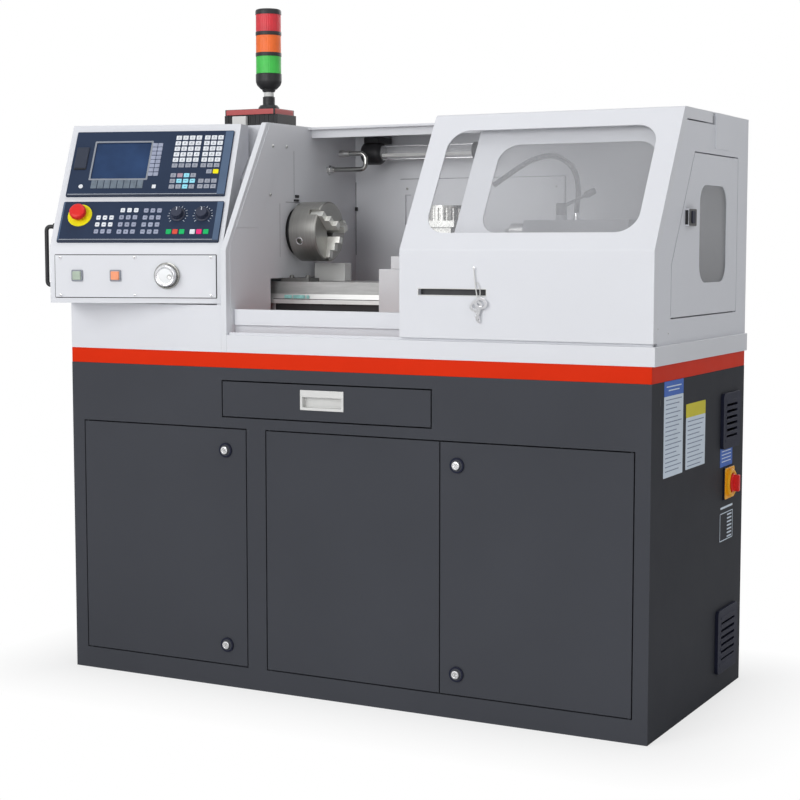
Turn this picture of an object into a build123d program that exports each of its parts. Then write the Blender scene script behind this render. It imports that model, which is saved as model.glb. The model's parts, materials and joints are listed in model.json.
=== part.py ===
"""Turning lathe with computer control: sheet steel cabinet, enclosed work area and control box.

Millimetres, +Z up. X runs along the machine to the right, Y runs from the front to the back.
The origin is on the floor, under the middle of the cabinet.
"""
import os
from math import atan2, cos, radians, sin, tan

from build123d import *

os.makedirs("parts", exist_ok=True)

# Driving dimensions of the cabinet
cabinet_length = 1500
cabinet_depth = 650
cabinet_height = 760
band_height = 36
sill_height = 41
sheet = 3
cover_sheet = 2
shut_line = 3
running_gap = 0.3
bearing_gap = 0.05

# Driving dimensions of the enclosure, its heights counted from the top of the sill
enclosure_height = 503
kink_rise = 198
slant_run = 182
partition_x = -295
partition_flange = 15
header_y = 67
header_drop = 27
rear_wall_y = 291
door_width = 590
door_depth = 25
door_lift = 6
panel_setback = 27.5

# Driving dimensions of the bed and the spindle line, counted up from the tray floor
tray_floor = 4
bed_lift = 41
bed_body = 100
way_thick = 10
ridge_rise = 13
spine_rise = 42
centre_height = 122

# Places that follow from them
right = cabinet_length / 2
left = -right
front = -cabinet_depth / 2
rear = -front
band_top = cabinet_height + band_height
sill_top = band_top + sill_height
roof_height = sill_top + enclosure_height
kink_height = sill_top + kink_rise
tray_floor_top = cabinet_height + tray_floor
bed_bottom = tray_floor_top + bed_lift
way_z = bed_bottom + bed_body
way_top = way_z + way_thick
ridge_top = way_top + ridge_rise
spine_top = way_top + spine_rise
spindle_z = spine_top + centre_height
slope = atan2(slant_run, roof_height - kink_height)
slope_turn = tan(slope / 2)
crown_turn = tan((radians(90) - slope) / 2)


def block(x_limits, y_limits, z_limits, mode=Mode.ADD):
    """A box between two limits on each axis."""
    limits = (x_limits, y_limits, z_limits)
    with Locations(tuple((low + high) / 2 for low, high in limits)):
        Box(*(high - low for low, high in limits), mode=mode)


def round_bar(start, length, radius, axis=Axis.Z, mode=Mode.ADD):
    """A round bar from a start point along an axis."""
    face = Plane(origin=start, z_dir=axis.direction)
    with BuildSketch(face) as disc:
        Circle(radius)
    extrude(disc.sketch, amount=length, mode=mode)


def slab(plane, points, thickness, mode=Mode.ADD):
    """A flat outline pulled out along the normal of its plane."""
    with BuildSketch(plane) as outline:
        with BuildLine():
            Polyline(*points, close=True)
        make_face()
    extrude(outline.sketch, amount=thickness, mode=mode)


def rounded_window(plane, x_limits, y_limits, radius, depth, mode=Mode.SUBTRACT):
    """A rounded rectangle on a plane, pulled both ways."""
    middle = ((x_limits[0] + x_limits[1]) / 2, (y_limits[0] + y_limits[1]) / 2)
    with BuildSketch(plane) as outline:
        with Locations(middle):
            RectangleRounded(x_limits[1] - x_limits[0], y_limits[1] - y_limits[0], radius)
    extrude(outline.sketch, amount=depth, both=True, mode=mode)


def front_line(inset, bottom, back):
    """The front edge of the enclosure in side view, moved inwards by the inset."""
    return [
        (front + inset, bottom),
        (front + inset, kink_height - inset * slope_turn),
        (front + slant_run + inset * crown_turn, roof_height - inset),
        (back, roof_height - inset),
    ]


def front_band(outer, inner, bottom, back):
    """A strip of the enclosure's front in side view, between two insets."""
    return front_line(outer, bottom, back) + front_line(inner, bottom, back)[::-1]


# Cabinet openings and what fills them
door_bottom = 54
drawer_z = (cabinet_height - 114, cabinet_height - 32)
door_top = drawer_z[0] - 30
left_door_x = (-712, -244)
centre_door_x = (-187, 263 - shut_line / 2)
right_door_x = (263 + shut_line / 2, 713)
drawer_x = (-307, 240)
fold_depth = 25
door_pan_depth = 18
pin_radius = 3
pin_inset = 6
lock_radius = 9
collar_radius = 17
collar_proud = 4
lock_proud = 9
lock_inset = 55
lock_z = (door_bottom + 47, door_top - 50)
double_opening_x = (centre_door_x[0], right_door_x[1])


def hinge_line_x(door_x, hinge_side):
    """The hinge line of a cabinet door, a little way in from its edge."""
    if hinge_side == "left":
        return door_x[0] + pin_inset
    return door_x[1] - pin_inset


hinge_lines = {
    "left": hinge_line_x(left_door_x, "left"),
    "centre": hinge_line_x(centre_door_x, "left"),
    "right": hinge_line_x(right_door_x, "right"),
}
hinge_y = front + pin_inset

# Cabinet shell: sides, back and the partition between the two compartments
partition_plate_x = (-217, -217 + sheet)
partition_plate_z = (60, drawer_z[0] - 20)
wrap_front = front + sheet
fan_radius = 50
fan_spots = ((210, cabinet_height - 120), (204, 124))
with BuildPart() as cabinet_wrap:
    block((left, right), (wrap_front, rear), (0, cabinet_height))
    block((left + sheet, right - sheet), (wrap_front, rear - sheet), (0, cabinet_height), Mode.SUBTRACT)
    block(partition_plate_x, (front + fold_depth, rear - sheet), partition_plate_z)
    for fan_y, fan_z in fan_spots:
        round_bar((right - 2 * sheet, fan_y, fan_z), 3 * sheet, fan_radius, Axis.X, Mode.SUBTRACT)
cabinet_wrap.part.label = "cabinet_wrap"
export_step(cabinet_wrap.part, "parts/cabinet_wrap.step")

# Cabinet front: plate with folded openings, hinge pins and drawer rails
rail_reach = 330
rail_ledge = 30
drawer_box_bottom = drawer_z[0] + 6
drawer_side_gap = 5
openings = (
    (left_door_x, (door_bottom, door_top)),
    (double_opening_x, (door_bottom, door_top)),
    (drawer_x, drawer_z),
)
with BuildPart() as cabinet_front_frame:
    block((left, right), (front, front + sheet), (0, cabinet_height))
    for (x_low, x_high), (z_low, z_high) in openings:
        grown = shut_line + sheet
        grown_z = (z_low - grown, z_high + grown)
        block((x_low - grown, x_high + grown), (front + sheet, front + fold_depth), grown_z)
    for (x_low, x_high), (z_low, z_high) in openings:
        block(
            (x_low - shut_line, x_high + shut_line),
            (front - sheet, front + fold_depth + sheet),
            (z_low - shut_line, z_high + shut_line),
            Mode.SUBTRACT,
        )
    pin_length = shut_line + cover_sheet + 4
    for hinge_x in hinge_lines.values():
        round_bar((hinge_x, hinge_y, door_bottom - shut_line - 1), pin_length + 1, pin_radius)
        round_bar((hinge_x, hinge_y, door_top + shut_line - pin_length), pin_length + 1, pin_radius)
    for edge, inward in ((drawer_x[0] - shut_line, 1), (drawer_x[1] + shut_line, -1)):
        web = sorted((edge - inward * sheet, edge))
        ledge = sorted((edge - inward * sheet, edge + inward * rail_ledge))
        drawer_rail_y = (front + fold_depth, front + rail_reach)
        drawer_rail_top = drawer_box_bottom - running_gap
        block(web, drawer_rail_y, (drawer_z[0] - shut_line - sheet, drawer_z[1] - 20))
        block(ledge, drawer_rail_y, (drawer_rail_top - sheet, drawer_rail_top))
cabinet_front_frame.part.label = "cabinet_front_frame"
export_step(cabinet_front_frame.part, "parts/cabinet_front_frame.step")

# Base frame: folded ring on the floor with anchor holes, cross rail and floor plate
base_height = 45
foot_plate = 5
foot_width = 60
anchor_radius = 7
base_x = right - sheet
base_y = rear - sheet
anchor_x = base_x - foot_width / 2
anchor_y = base_y - foot_width / 2
with BuildPart() as cabinet_base_frame:
    block((-base_x, base_x), (-base_y, base_y), (0, base_height))
    base_hollow_x = (-base_x + sheet, base_x - sheet)
    base_hollow_y = (-base_y + sheet, base_y - sheet)
    block(base_hollow_x, base_hollow_y, (foot_plate, base_height - sheet), Mode.SUBTRACT)
    for side in (-1, 1):
        pit_x = sorted((side * foot_width / 2, side * (base_x - foot_width)))
        block(pit_x, (-base_y + foot_width, base_y - foot_width), (-1, foot_plate + 1), Mode.SUBTRACT)
    with Locations((0, 0, 0)):
        with GridLocations(2 * anchor_x, 2 * anchor_y, 2, 2):
            Cylinder(anchor_radius, 4 * foot_plate, mode=Mode.SUBTRACT)
cabinet_base_frame.part.label = "cabinet_base_frame"
export_step(cabinet_base_frame.part, "parts/cabinet_base_frame.step")


def make_cabinet_door(door_x, hinge_x, lock_x):
    """A folded door pan with pin holes and, where it locks, two collared lock holes."""
    with BuildPart() as door:
        block(door_x, (front, front + door_pan_depth), (door_bottom, door_top))
        inner_x = (door_x[0] + cover_sheet, door_x[1] - cover_sheet)
        inner_z = (door_bottom + cover_sheet, door_top - cover_sheet)
        block(inner_x, (front + cover_sheet, front + door_pan_depth + 1), inner_z, Mode.SUBTRACT)
        for z in (door_bottom - 1, door_top - cover_sheet - 1):
            round_bar((hinge_x, hinge_y, z), cover_sheet + 2, pin_radius + bearing_gap, mode=Mode.SUBTRACT)
        if lock_x is not None:
            for z in lock_z:
                bore_radius = lock_radius + bearing_gap
                collar_start = (lock_x, front - collar_proud, z)
                round_bar(collar_start, door_pan_depth + collar_proud, collar_radius, Axis.Y)
                bore_start = (lock_x, front - collar_proud - 1, z)
                round_bar(bore_start, door_pan_depth + collar_proud + 2, bore_radius, Axis.Y, Mode.SUBTRACT)
    return door


left_lock_x = left_door_x[1] - lock_inset
right_lock_x = right_door_x[0] + lock_inset - 14
left_cabinet_door = make_cabinet_door(left_door_x, hinge_lines["left"], left_lock_x)
left_cabinet_door.part.label = "left_cabinet_door"
export_step(left_cabinet_door.part, "parts/left_cabinet_door.step")
centre_cabinet_door = make_cabinet_door(centre_door_x, hinge_lines["centre"], None)
centre_cabinet_door.part.label = "centre_cabinet_door"
export_step(centre_cabinet_door.part, "parts/centre_cabinet_door.step")
right_cabinet_door = make_cabinet_door(right_door_x, hinge_lines["right"], right_lock_x)
right_cabinet_door.part.label = "right_cabinet_door"
export_step(right_cabinet_door.part, "parts/right_cabinet_door.step")

# Quarter turn locks: slotted face in the collar, shaft through the door and a cam behind it
cam_clearance = 3
cam_start = front + fold_depth + cam_clearance
cam_thick = 4
cam_length = lock_inset + shut_line + 12
cam_half_width = 7
lock_places = (
    ("left_door_lower_lock", left_lock_x, lock_z[0], 1),
    ("left_door_upper_lock", left_lock_x, lock_z[1], -1),
    ("right_door_lower_lock", right_lock_x, lock_z[0], 1),
    ("right_door_upper_lock", right_lock_x, lock_z[1], -1),
)
for lock_name, lock_x, z, cam_way in lock_places:
    with BuildPart() as lock:
        lock_face = front - lock_proud
        round_bar((lock_x, lock_face, z), cam_start + cam_thick - lock_face, lock_radius, Axis.Y)
        cam_z = sorted((z - cam_way * cam_half_width, z + cam_way * cam_length))
        block((lock_x - cam_half_width, lock_x + cam_half_width), (cam_start, cam_start + cam_thick), cam_z)
        block((lock_x - 5, lock_x + 5), (lock_face - 1, lock_face + 3), (z - 1, z + 1), Mode.SUBTRACT)
    lock.part.label = lock_name
    export_step(lock.part, "parts/" + lock_name + ".step")

# Drawer: front plate and open box on the rails
pull_x = (-90, 16)
pull_z = (drawer_z[0] + 28, drawer_z[1] - 16)
pull_depth = 14
drawer_box_depth = 300
drawer_box_top = drawer_z[1] - 13
drawer_box_x = (drawer_x[0] + drawer_side_gap, drawer_x[1] - drawer_side_gap)
with BuildPart() as drawer:
    block(drawer_x, (front, front + cover_sheet), drawer_z)
    box_y = (front + cover_sheet, front + cover_sheet + drawer_box_depth)
    block(drawer_box_x, box_y, (drawer_box_bottom, drawer_box_top))
    block(
        (drawer_box_x[0] + cover_sheet, drawer_box_x[1] - cover_sheet),
        (box_y[0], box_y[1] - cover_sheet),
        (drawer_box_bottom + cover_sheet, drawer_box_top + 1),
        Mode.SUBTRACT,
    )
    block(pull_x, (front - 1, front + cover_sheet + 1), pull_z, Mode.SUBTRACT)
drawer.part.label = "drawer"
export_step(drawer.part, "parts/drawer.step")

# Drawer pull: moulded finger cup with a thin rim on the drawer front
rim = 4
rim_proud = 2
top_lip = 10
with BuildPart() as drawer_pull:
    rim_z = (pull_z[0] - rim, pull_z[1] + rim)
    block((pull_x[0] - rim, pull_x[1] + rim), (front - rim_proud, front), rim_z)
    block(pull_x, (front, front + pull_depth), pull_z)
    cup_x = (pull_x[0] + cover_sheet, pull_x[1] - cover_sheet)
    cup_z = (pull_z[0] + cover_sheet, pull_z[1] - cover_sheet)
    block(cup_x, (front - rim_proud - 1, front + pull_depth - cover_sheet), cup_z, Mode.SUBTRACT)
    block(cup_x, (front - rim_proud, front), (cup_z[1] - top_lip, cup_z[1]))
drawer_pull.part.label = "drawer_pull"
export_step(drawer_pull.part, "parts/drawer_pull.step")

# Chip tray: the coloured rim all round the machine with a floor and a drain
drain_spot = (-560, 230)
drain_radius = 20
drain_length = 30
with BuildPart() as chip_tray:
    block((left, right), (front, rear), (cabinet_height, band_top))
    tray_x = (left + sheet, right - sheet)
    block(tray_x, (front + sheet, rear - sheet), (tray_floor_top, band_top + 1), Mode.SUBTRACT)
    drain_bottom = cabinet_height - drain_length
    round_bar((*drain_spot, drain_bottom), drain_length, drain_radius + sheet)
    bore_length = drain_length + 2 * tray_floor
    round_bar((*drain_spot, drain_bottom - 1), bore_length, drain_radius, mode=Mode.SUBTRACT)
chip_tray.part.label = "chip_tray"
export_step(chip_tray.part, "parts/chip_tray.step")

# Enclosure sill: front, right and rear runs on the tray rim, with the door rail and the trough lip
sill_overhang = 6
sill_flange = 22
trough_y = -297
trough_lip_z = (sill_top + 22, sill_top + 59)
trough_lip_depth = 12
trough_end_radius = 9
fixed_panel_left = 270
sill_right = right + sill_overhang
door_bottom_edge = sill_top + door_lift
with BuildPart() as enclosure_sill:
    block((partition_x, sill_right), (front, rear), (band_top, sill_top))
    sill_hollow_x = (partition_x - 1, sill_right - sheet)
    sill_hollow_z = (band_top - 1, sill_top - sheet)
    block(sill_hollow_x, (front + sheet, rear - sheet), sill_hollow_z, Mode.SUBTRACT)
    sill_hole_y = (front + sill_flange, rear - sill_flange)
    block((partition_x - 1, right - sill_flange), sill_hole_y, (band_top, sill_top + 1), Mode.SUBTRACT)
    door_rail_run = (front + 8, front + 14)
    block((partition_x + 2, right - 2), door_rail_run, (sill_top, door_bottom_edge - running_gap))
    trough_back = trough_y + trough_lip_depth
    trough_x = (partition_x, fixed_panel_left - running_gap)
    block(trough_x, (trough_back - sheet, trough_back), (sill_top - sheet, trough_lip_z[1]))
    block(trough_x, (trough_y, trough_back), trough_lip_z)
    upright_edges = enclosure_sill.edges().filter_by(Axis.Z)
    left_edges = upright_edges.filter_by_position(Axis.X, partition_x - 0.1, partition_x + 0.1)
    fillet(left_edges.filter_by_position(Axis.Y, trough_y - 0.1, trough_y + 0.1), trough_end_radius)
enclosure_sill.part.label = "enclosure_sill"
export_step(enclosure_sill.part, "parts/enclosure_sill.step")

# Left wall of the work area with its slanted jamb, spindle hole and bed notch
wall_hole_radius = 60
wall_notch_y = 130
wall_notch_top = spine_top + 8
left_wall_x = (partition_x - sheet, partition_x)
flange_start = partition_x - partition_flange
with BuildPart() as enclosure_left_wall:
    wall_plane = Plane.YZ.offset(left_wall_x[0])
    wall_outline = front_line(0, band_top, rear_wall_y) + [(rear_wall_y, band_top)]
    slab(wall_plane, wall_outline, sheet)
    slab(Plane.YZ.offset(flange_start), front_band(0, sheet, band_top, rear_wall_y), partition_flange)
    round_bar((left_wall_x[0] - 1, 0, spindle_z), sheet + 2, wall_hole_radius, Axis.X, Mode.SUBTRACT)
    notch_y = (-wall_notch_y, wall_notch_y)
    block((flange_start - 1, partition_x + 1), notch_y, (band_top - 1, wall_notch_top), Mode.SUBTRACT)
enclosure_left_wall.part.label = "enclosure_left_wall"
export_step(enclosure_left_wall.part, "parts/enclosure_left_wall.step")

# Right wall with the folded opening for the side door
side_pan_depth = 12
side_door_inset = 113
side_door_z = (sill_top + 56, roof_height - 95)
side_door_back = 246
side_fold_depth = 16
bracket_z = roof_height - 80
bracket_back = 176
wall_inset = panel_setback


def side_door_outline(grow):
    """The side door in side view, parallel to the slanted front, grown or shrunk evenly."""
    inset = side_door_inset - grow
    top = side_door_z[1] + grow
    slant_y = front + (top - kink_height) * tan(slope) + inset / cos(slope)
    return [
        (front + inset, side_door_z[0] - grow),
        (front + inset, kink_height - inset * slope_turn),
        (slant_y, top),
        (side_door_back + grow, top),
        (side_door_back + grow, side_door_z[0] - grow),
    ]


side_hinge_x = right - pin_inset
side_hinge_y = side_door_back - pin_inset
with BuildPart() as enclosure_right_wall:
    wall_outline = front_line(wall_inset, sill_top, header_y) + [
        (header_y, roof_height),
        (rear, roof_height),
        (rear, sill_top),
    ]
    slab(Plane.YZ.offset(right - sheet), wall_outline, sheet)
    slab(Plane.YZ.offset(right - side_fold_depth), side_door_outline(shut_line + sheet), side_fold_depth)
    fold_plane = Plane.YZ.offset(right - side_fold_depth - 1)
    slab(fold_plane, side_door_outline(shut_line), side_fold_depth + 2, Mode.SUBTRACT)
    block((right, right + cover_sheet), (header_y + sheet, bracket_back), (bracket_z, roof_height))
    side_pin = shut_line + cover_sheet + 4
    round_bar((side_hinge_x, side_hinge_y, side_door_z[0] - shut_line - 1), side_pin + 1, pin_radius)
    round_bar((side_hinge_x, side_hinge_y, side_door_z[1] + shut_line - side_pin), side_pin + 1, pin_radius)
enclosure_right_wall.part.label = "enclosure_right_wall"
export_step(enclosure_right_wall.part, "parts/enclosure_right_wall.step")

# Side door: folded pan with a rounded window and a raised finger latch
side_window_y = (-29, 165)
side_window_z = (side_door_z[0] + 70, side_door_z[1] - 67)
side_window_radius = 42
latch_y = (-128, -74)
latch_z = (side_door_z[0] + 193, side_door_z[0] + 231)
latch_proud = 8
latch_rim = 6
with BuildPart() as side_door:
    slab(Plane.YZ.offset(right - side_pan_depth), side_door_outline(0), side_pan_depth)
    pan_plane = Plane.YZ.offset(right - side_pan_depth - 1)
    slab(pan_plane, side_door_outline(-cover_sheet), side_pan_depth + 1 - cover_sheet, Mode.SUBTRACT)
    outside = Plane.YZ.offset(right)
    rounded_window(outside, side_window_y, side_window_z, side_window_radius, 2 * side_pan_depth)
    block((right, right + latch_proud), latch_y, latch_z)
    grip_y = (latch_y[0] + 20, latch_y[1] - latch_rim)
    grip_z = (latch_z[0] + latch_rim, latch_z[1] - latch_rim)
    block((right + 3, right + latch_proud + 1), grip_y, grip_z, Mode.SUBTRACT)
    for z in (side_door_z[0] - 1, side_door_z[1] - cover_sheet - 1):
        pin_hole = pin_radius + bearing_gap
        round_bar((side_hinge_x, side_hinge_y, z), cover_sheet + 2, pin_hole, mode=Mode.SUBTRACT)
side_door.part.label = "side_door"
export_step(side_door.part, "parts/side_door.step")

# Side door window: pane held behind the door skin
pane = 4
pane_border = 12
with BuildPart() as side_door_window:
    pane_y = (side_window_y[0] - pane_border, side_window_y[1] + pane_border)
    pane_z = (side_window_z[0] - pane_border, side_window_z[1] + pane_border)
    pane_plane = Plane.YZ.offset(right - cover_sheet - pane / 2)
    rounded_window(pane_plane, pane_y, pane_z, side_window_radius, pane / 2, Mode.ADD)
side_door_window.part.label = "side_door_window"
export_step(side_door_window.part, "parts/side_door_window.step")

# Rear wall and roof with the header strip, door rail and raised access cover
header_thick = 3
door_rail_y = 50
access_x = (-160, 300)
access_z = (sill_top + 123, roof_height - 125)
access_proud = 6
finger_slot_x = (-144, -128)
finger_slot_z = (access_z[0] + 138, access_z[1] - 40)
with BuildPart() as enclosure_rear_wall:
    wall_x = (partition_x, right - sheet)
    block(wall_x, (rear_wall_y, rear_wall_y + sheet), (sill_top, roof_height))
    skirt_x = (partition_x, right - sill_flange)
    block(skirt_x, (rear_wall_y, rear_wall_y + sheet), (tray_floor_top, sill_top))
    block(wall_x, (header_y, rear), (roof_height - sheet, roof_height))
    block(wall_x, (rear - sheet, rear), (roof_height - 40, roof_height))
    block(wall_x, (header_y, header_y + header_thick), (roof_height - header_drop, roof_height))
    top_rail_z = roof_height - sheet - running_gap
    block(wall_x, (door_rail_y, header_y), (top_rail_z - 4, top_rail_z))
    block(access_x, (rear_wall_y - access_proud, rear_wall_y), access_z)
    block(finger_slot_x, (rear_wall_y - access_proud - 1, rear_wall_y), finger_slot_z, Mode.SUBTRACT)
enclosure_rear_wall.part.label = "enclosure_rear_wall"
export_step(enclosure_rear_wall.part, "parts/enclosure_rear_wall.step")

# Fixed front panel behind the sliding door, with its own window
slope_plane = Plane(origin=(0, front, kink_height), x_dir=(1, 0, 0), z_dir=(0, -cos(slope), sin(slope)))
fixed_window_x = (330, 700)
fixed_window_s = (58, 288)
fixed_window_radius = 46
panel_inner = panel_setback + cover_sheet
with BuildPart() as fixed_front_panel:
    panel_length = right - sheet - fixed_panel_left
    panel_skin = front_band(panel_setback, panel_inner, sill_top, header_y)
    panel_fold = front_band(panel_setback, panel_setback + 18, sill_top + 70, header_y)
    slab(Plane.YZ.offset(fixed_panel_left), panel_skin, panel_length)
    slab(Plane.YZ.offset(fixed_panel_left), panel_fold, cover_sheet)
    set_back = slope_plane.offset(-panel_setback)
    rounded_window(set_back, fixed_window_x, fixed_window_s, fixed_window_radius, 4 * cover_sheet)
fixed_front_panel.part.label = "fixed_front_panel"
export_step(fixed_front_panel.part, "parts/fixed_front_panel.step")

# Fixed window: pane behind the fixed panel
with BuildPart() as fixed_window:
    pane_x = (fixed_window_x[0] - pane_border, fixed_window_x[1] + pane_border)
    pane_s = (fixed_window_s[0] - pane_border, fixed_window_s[1] + pane_border)
    pane_plane = slope_plane.offset(-panel_inner - pane / 2)
    rounded_window(pane_plane, pane_x, pane_s, fixed_window_radius, pane / 2, Mode.ADD)
fixed_window.part.label = "fixed_window"
export_step(fixed_window.part, "parts/fixed_window.step")

# Sliding door: folded sheet with a slanted window, finger slot and track bracket on top
door_x = (right + cover_sheet - door_width, right + cover_sheet)
window_x = (211, 703)
window_s = (44, 311)
window_radius = 48
slot_x = (209, 373)
slot_z = (sill_top + 100, sill_top + 114)
slot_depth = 14
door_back = header_y - running_gap
with BuildPart() as sliding_door:
    slab(Plane.YZ.offset(door_x[0]), front_band(0, sheet, door_bottom_edge, door_back), door_width)
    for return_x in (door_x[0], door_x[1] - cover_sheet):
        door_return = front_band(0, door_depth, door_bottom_edge, door_rail_y - 5)
        slab(Plane.YZ.offset(return_x), door_return, cover_sheet)
    block(door_x, (front, front + 20), (door_bottom_edge, door_bottom_edge + cover_sheet))
    rounded_window(slope_plane, window_x, window_s, window_radius, 2 * sheet)
    shell_x = (slot_x[0] - cover_sheet, slot_x[1] + cover_sheet)
    shell_z = (slot_z[0] - cover_sheet, slot_z[1] + cover_sheet)
    block(shell_x, (front + 1, front + slot_depth + cover_sheet), shell_z)
    block(slot_x, (front - 1, front + slot_depth), slot_z, Mode.SUBTRACT)
sliding_door.part.label = "sliding_door"
export_step(sliding_door.part, "parts/sliding_door.step")

# Sliding door window: pane behind the slanted face
with BuildPart() as sliding_door_window:
    pane_x = (window_x[0] - pane_border, window_x[1] + pane_border)
    pane_s = (window_s[0] - pane_border, window_s[1] + pane_border)
    pane_plane = slope_plane.offset(-sheet - pane / 2)
    rounded_window(pane_plane, pane_x, pane_s, window_radius, pane / 2, Mode.ADD)
sliding_door_window.part.label = "sliding_door_window"
export_step(sliding_door_window.part, "parts/sliding_door_window.step")

# Door keys: two keys with round bows on a wire loop from a stud above the finger slot
stud_x = 346
stud_z = slot_z[1] + 45
stud_proud = 6
stud_radius = 4
key_bow_radius = 15
key_hole_radius = 10
key_thick = 2
wire_radius = 1.2
bow_centres = ((352, stud_z - 81), (364, stud_z - 75))
shank_length = 36
key_turns = (-12, 14)
key_y = front - 4
with BuildPart() as door_keys:
    round_bar((stud_x, front - stud_proud, stud_z), stud_proud, stud_radius, Axis.Y)
    for (bow_x, bow_z), key_turn, depth in zip(bow_centres, key_turns, (0, -key_thick)):
        lean = radians(key_turn)
        key_spot = (bow_x, key_y + depth, bow_z)
        key_plane = Plane(origin=key_spot, x_dir=(cos(lean), 0, sin(lean)), z_dir=(0, -1, 0))
        with BuildSketch(key_plane) as key_outline:
            Circle(key_bow_radius)
            with Locations((0, -key_bow_radius - shank_length / 2 + 2)):
                Rectangle(8, shank_length)
            Circle(key_hole_radius, mode=Mode.SUBTRACT)
        extrude(key_outline.sketch, amount=key_thick)
    with BuildLine() as wire_line:
        wire_end = (bow_centres[0][0] + 4, front - stud_proud, bow_centres[0][1] + key_bow_radius - 2)
        Line((stud_x, front - 4.5, stud_z), wire_end)
    with BuildSketch(Plane(origin=wire_line.line @ 0, z_dir=wire_line.line % 0)) as wire_section:
        Circle(wire_radius)
    sweep(wire_section.sketch, path=wire_line.line)
door_keys.part.label = "door_keys"
export_step(door_keys.part, "parts/door_keys.step")

# Control box, driving sizes: it stands on the cover's shelf and swings on a pin at its right front corner
box_length = 425
box_recess = 11
box_side_gap = 5
box_top_gap = 2
box_kink_rise = 8
box_top_depth = 66
box_depth = 163
box_step = (135, 78)
box_open = 18
swing_inset = 8
swing_pin_radius = 5
swing_pin_length = 100
swing_boss_radius = 7.5
swing_collar_radius = 9

# Places of the control box when it is closed
shelf_top = band_top + 110
box_bottom = shelf_top + shut_line
box_right = flange_start - box_side_gap
box_left = box_right - box_length
box_front = front + box_recess
box_kink = kink_height + box_kink_rise
box_top = roof_height - box_top_gap
box_top_y = box_front + (box_top - box_kink) * tan(slope)
box_high_back = box_top_y + box_top_depth
box_low_back = box_front + box_depth
box_step_z = (roof_height - box_step[0], roof_height - box_step[1])
back_lean = atan2(box_step_z[1] - box_step_z[0], box_high_back - box_low_back)
back_turn = tan((radians(90) - back_lean) / 2)
swing_spot = (box_right - swing_inset, box_front + swing_inset)
swing_line = Axis((*swing_spot, 0), (0, 0, 1))


def swung(closed_part):
    """A piece of the control box, turned with it about the hinge pin to where it stands open."""
    return closed_part.rotate(swing_line, box_open)


# Headstock cover: stepped shell at the left, with the shelf and the hinge pin for the control box
cover_left = left
riser_low = box_low_back + shut_line
riser_high = box_high_back + shut_line
with BuildPart() as headstock_cover:
    cover_profile = [
        (front, band_top),
        (front, shelf_top),
        (riser_low, shelf_top),
        (riser_low, box_step_z[0]),
        (riser_high, box_step_z[1]),
        (riser_high, roof_height),
        (rear, roof_height),
        (rear, band_top),
    ]
    cover_length = flange_start - cover_left
    slab(Plane.YZ.offset(cover_left), cover_profile, cover_length)
    cover_hollow = [
        (front + cover_sheet, band_top - 1),
        (front + cover_sheet, shelf_top - cover_sheet),
        (riser_low + cover_sheet, shelf_top - cover_sheet),
        (riser_low + cover_sheet, box_step_z[0] - cover_sheet * back_turn),
        (riser_high + cover_sheet, box_step_z[1] - cover_sheet * back_turn),
        (riser_high + cover_sheet, roof_height - cover_sheet),
        (rear - cover_sheet, roof_height - cover_sheet),
        (rear - cover_sheet, band_top - 1),
    ]
    slab(Plane.YZ.offset(cover_left + cover_sheet), cover_hollow, cover_length, Mode.SUBTRACT)
    round_bar((*swing_spot, shelf_top), swing_pin_length, swing_pin_radius)
    round_bar((*swing_spot, shelf_top), shut_line - running_gap, swing_collar_radius)
headstock_cover.part.label = "headstock_cover"
export_step(headstock_cover.part, "parts/headstock_cover.step")

# Control box: folded shell with a leaned operator face and a hinge boss, swung open on its pin
panel_plane = Plane(origin=(0, box_front, box_kink), x_dir=(1, 0, 0), z_dir=(0, -cos(slope), sin(slope)))
panel_normal = Axis((0, 0, 0), (0, -cos(slope), sin(slope)))
upper_panel_x = (-724, -328)
upper_panel_s = (137, 322)
lower_panel_x = (-724, -326)
lower_panel_s = (9.5, 121.5)
panel_limits = ((upper_panel_x, upper_panel_s), (lower_panel_x, lower_panel_s))
panel_thick = 5
cutout_border = 12
plate_x = (-726, -331)
plate_z = (box_bottom + 14, box_bottom + 113)
wheel_spot = (-449, plate_z[0] + 51)
with BuildPart() as control_box:
    box_profile = [
        (box_front, box_bottom),
        (box_front, box_kink),
        (box_top_y, box_top),
        (box_high_back, box_top),
        (box_high_back, box_step_z[1]),
        (box_low_back, box_step_z[0]),
        (box_low_back, box_bottom),
    ]
    slab(Plane.YZ.offset(box_left), box_profile, box_length)
    box_hollow = [
        (box_front + cover_sheet, box_bottom + cover_sheet),
        (box_front + cover_sheet, box_kink - cover_sheet * slope_turn),
        (box_top_y + cover_sheet * crown_turn, box_top - cover_sheet),
        (box_high_back - cover_sheet, box_top - cover_sheet),
        (box_high_back - cover_sheet, box_step_z[1] + cover_sheet * back_turn),
        (box_low_back - cover_sheet, box_step_z[0] + cover_sheet * back_turn),
        (box_low_back - cover_sheet, box_bottom + cover_sheet),
    ]
    slab(Plane.YZ.offset(box_left + cover_sheet), box_hollow, box_length - 2 * cover_sheet, Mode.SUBTRACT)
    for x_limits, s_limits in panel_limits:
        cut_x = (x_limits[0] + cutout_border, x_limits[1] - cutout_border)
        cut_s = (s_limits[0] + cutout_border, s_limits[1] - cutout_border)
        rounded_window(panel_plane, cut_x, cut_s, 3, 2 * cover_sheet)
    cut_x = (plate_x[0] + cutout_border, plate_x[1] - cutout_border)
    cut_z = (plate_z[0] + cutout_border, plate_z[1] - cutout_border)
    block(cut_x, (box_front - 1, box_front + 2 * cover_sheet), cut_z, Mode.SUBTRACT)
    round_bar((*swing_spot, box_bottom), swing_pin_length + 10, swing_boss_radius)
    swing_bore = swing_pin_radius + bearing_gap
    round_bar((*swing_spot, box_bottom - 1), swing_pin_length + 4, swing_bore, mode=Mode.SUBTRACT)
control_box.part = swung(control_box.part)
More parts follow.
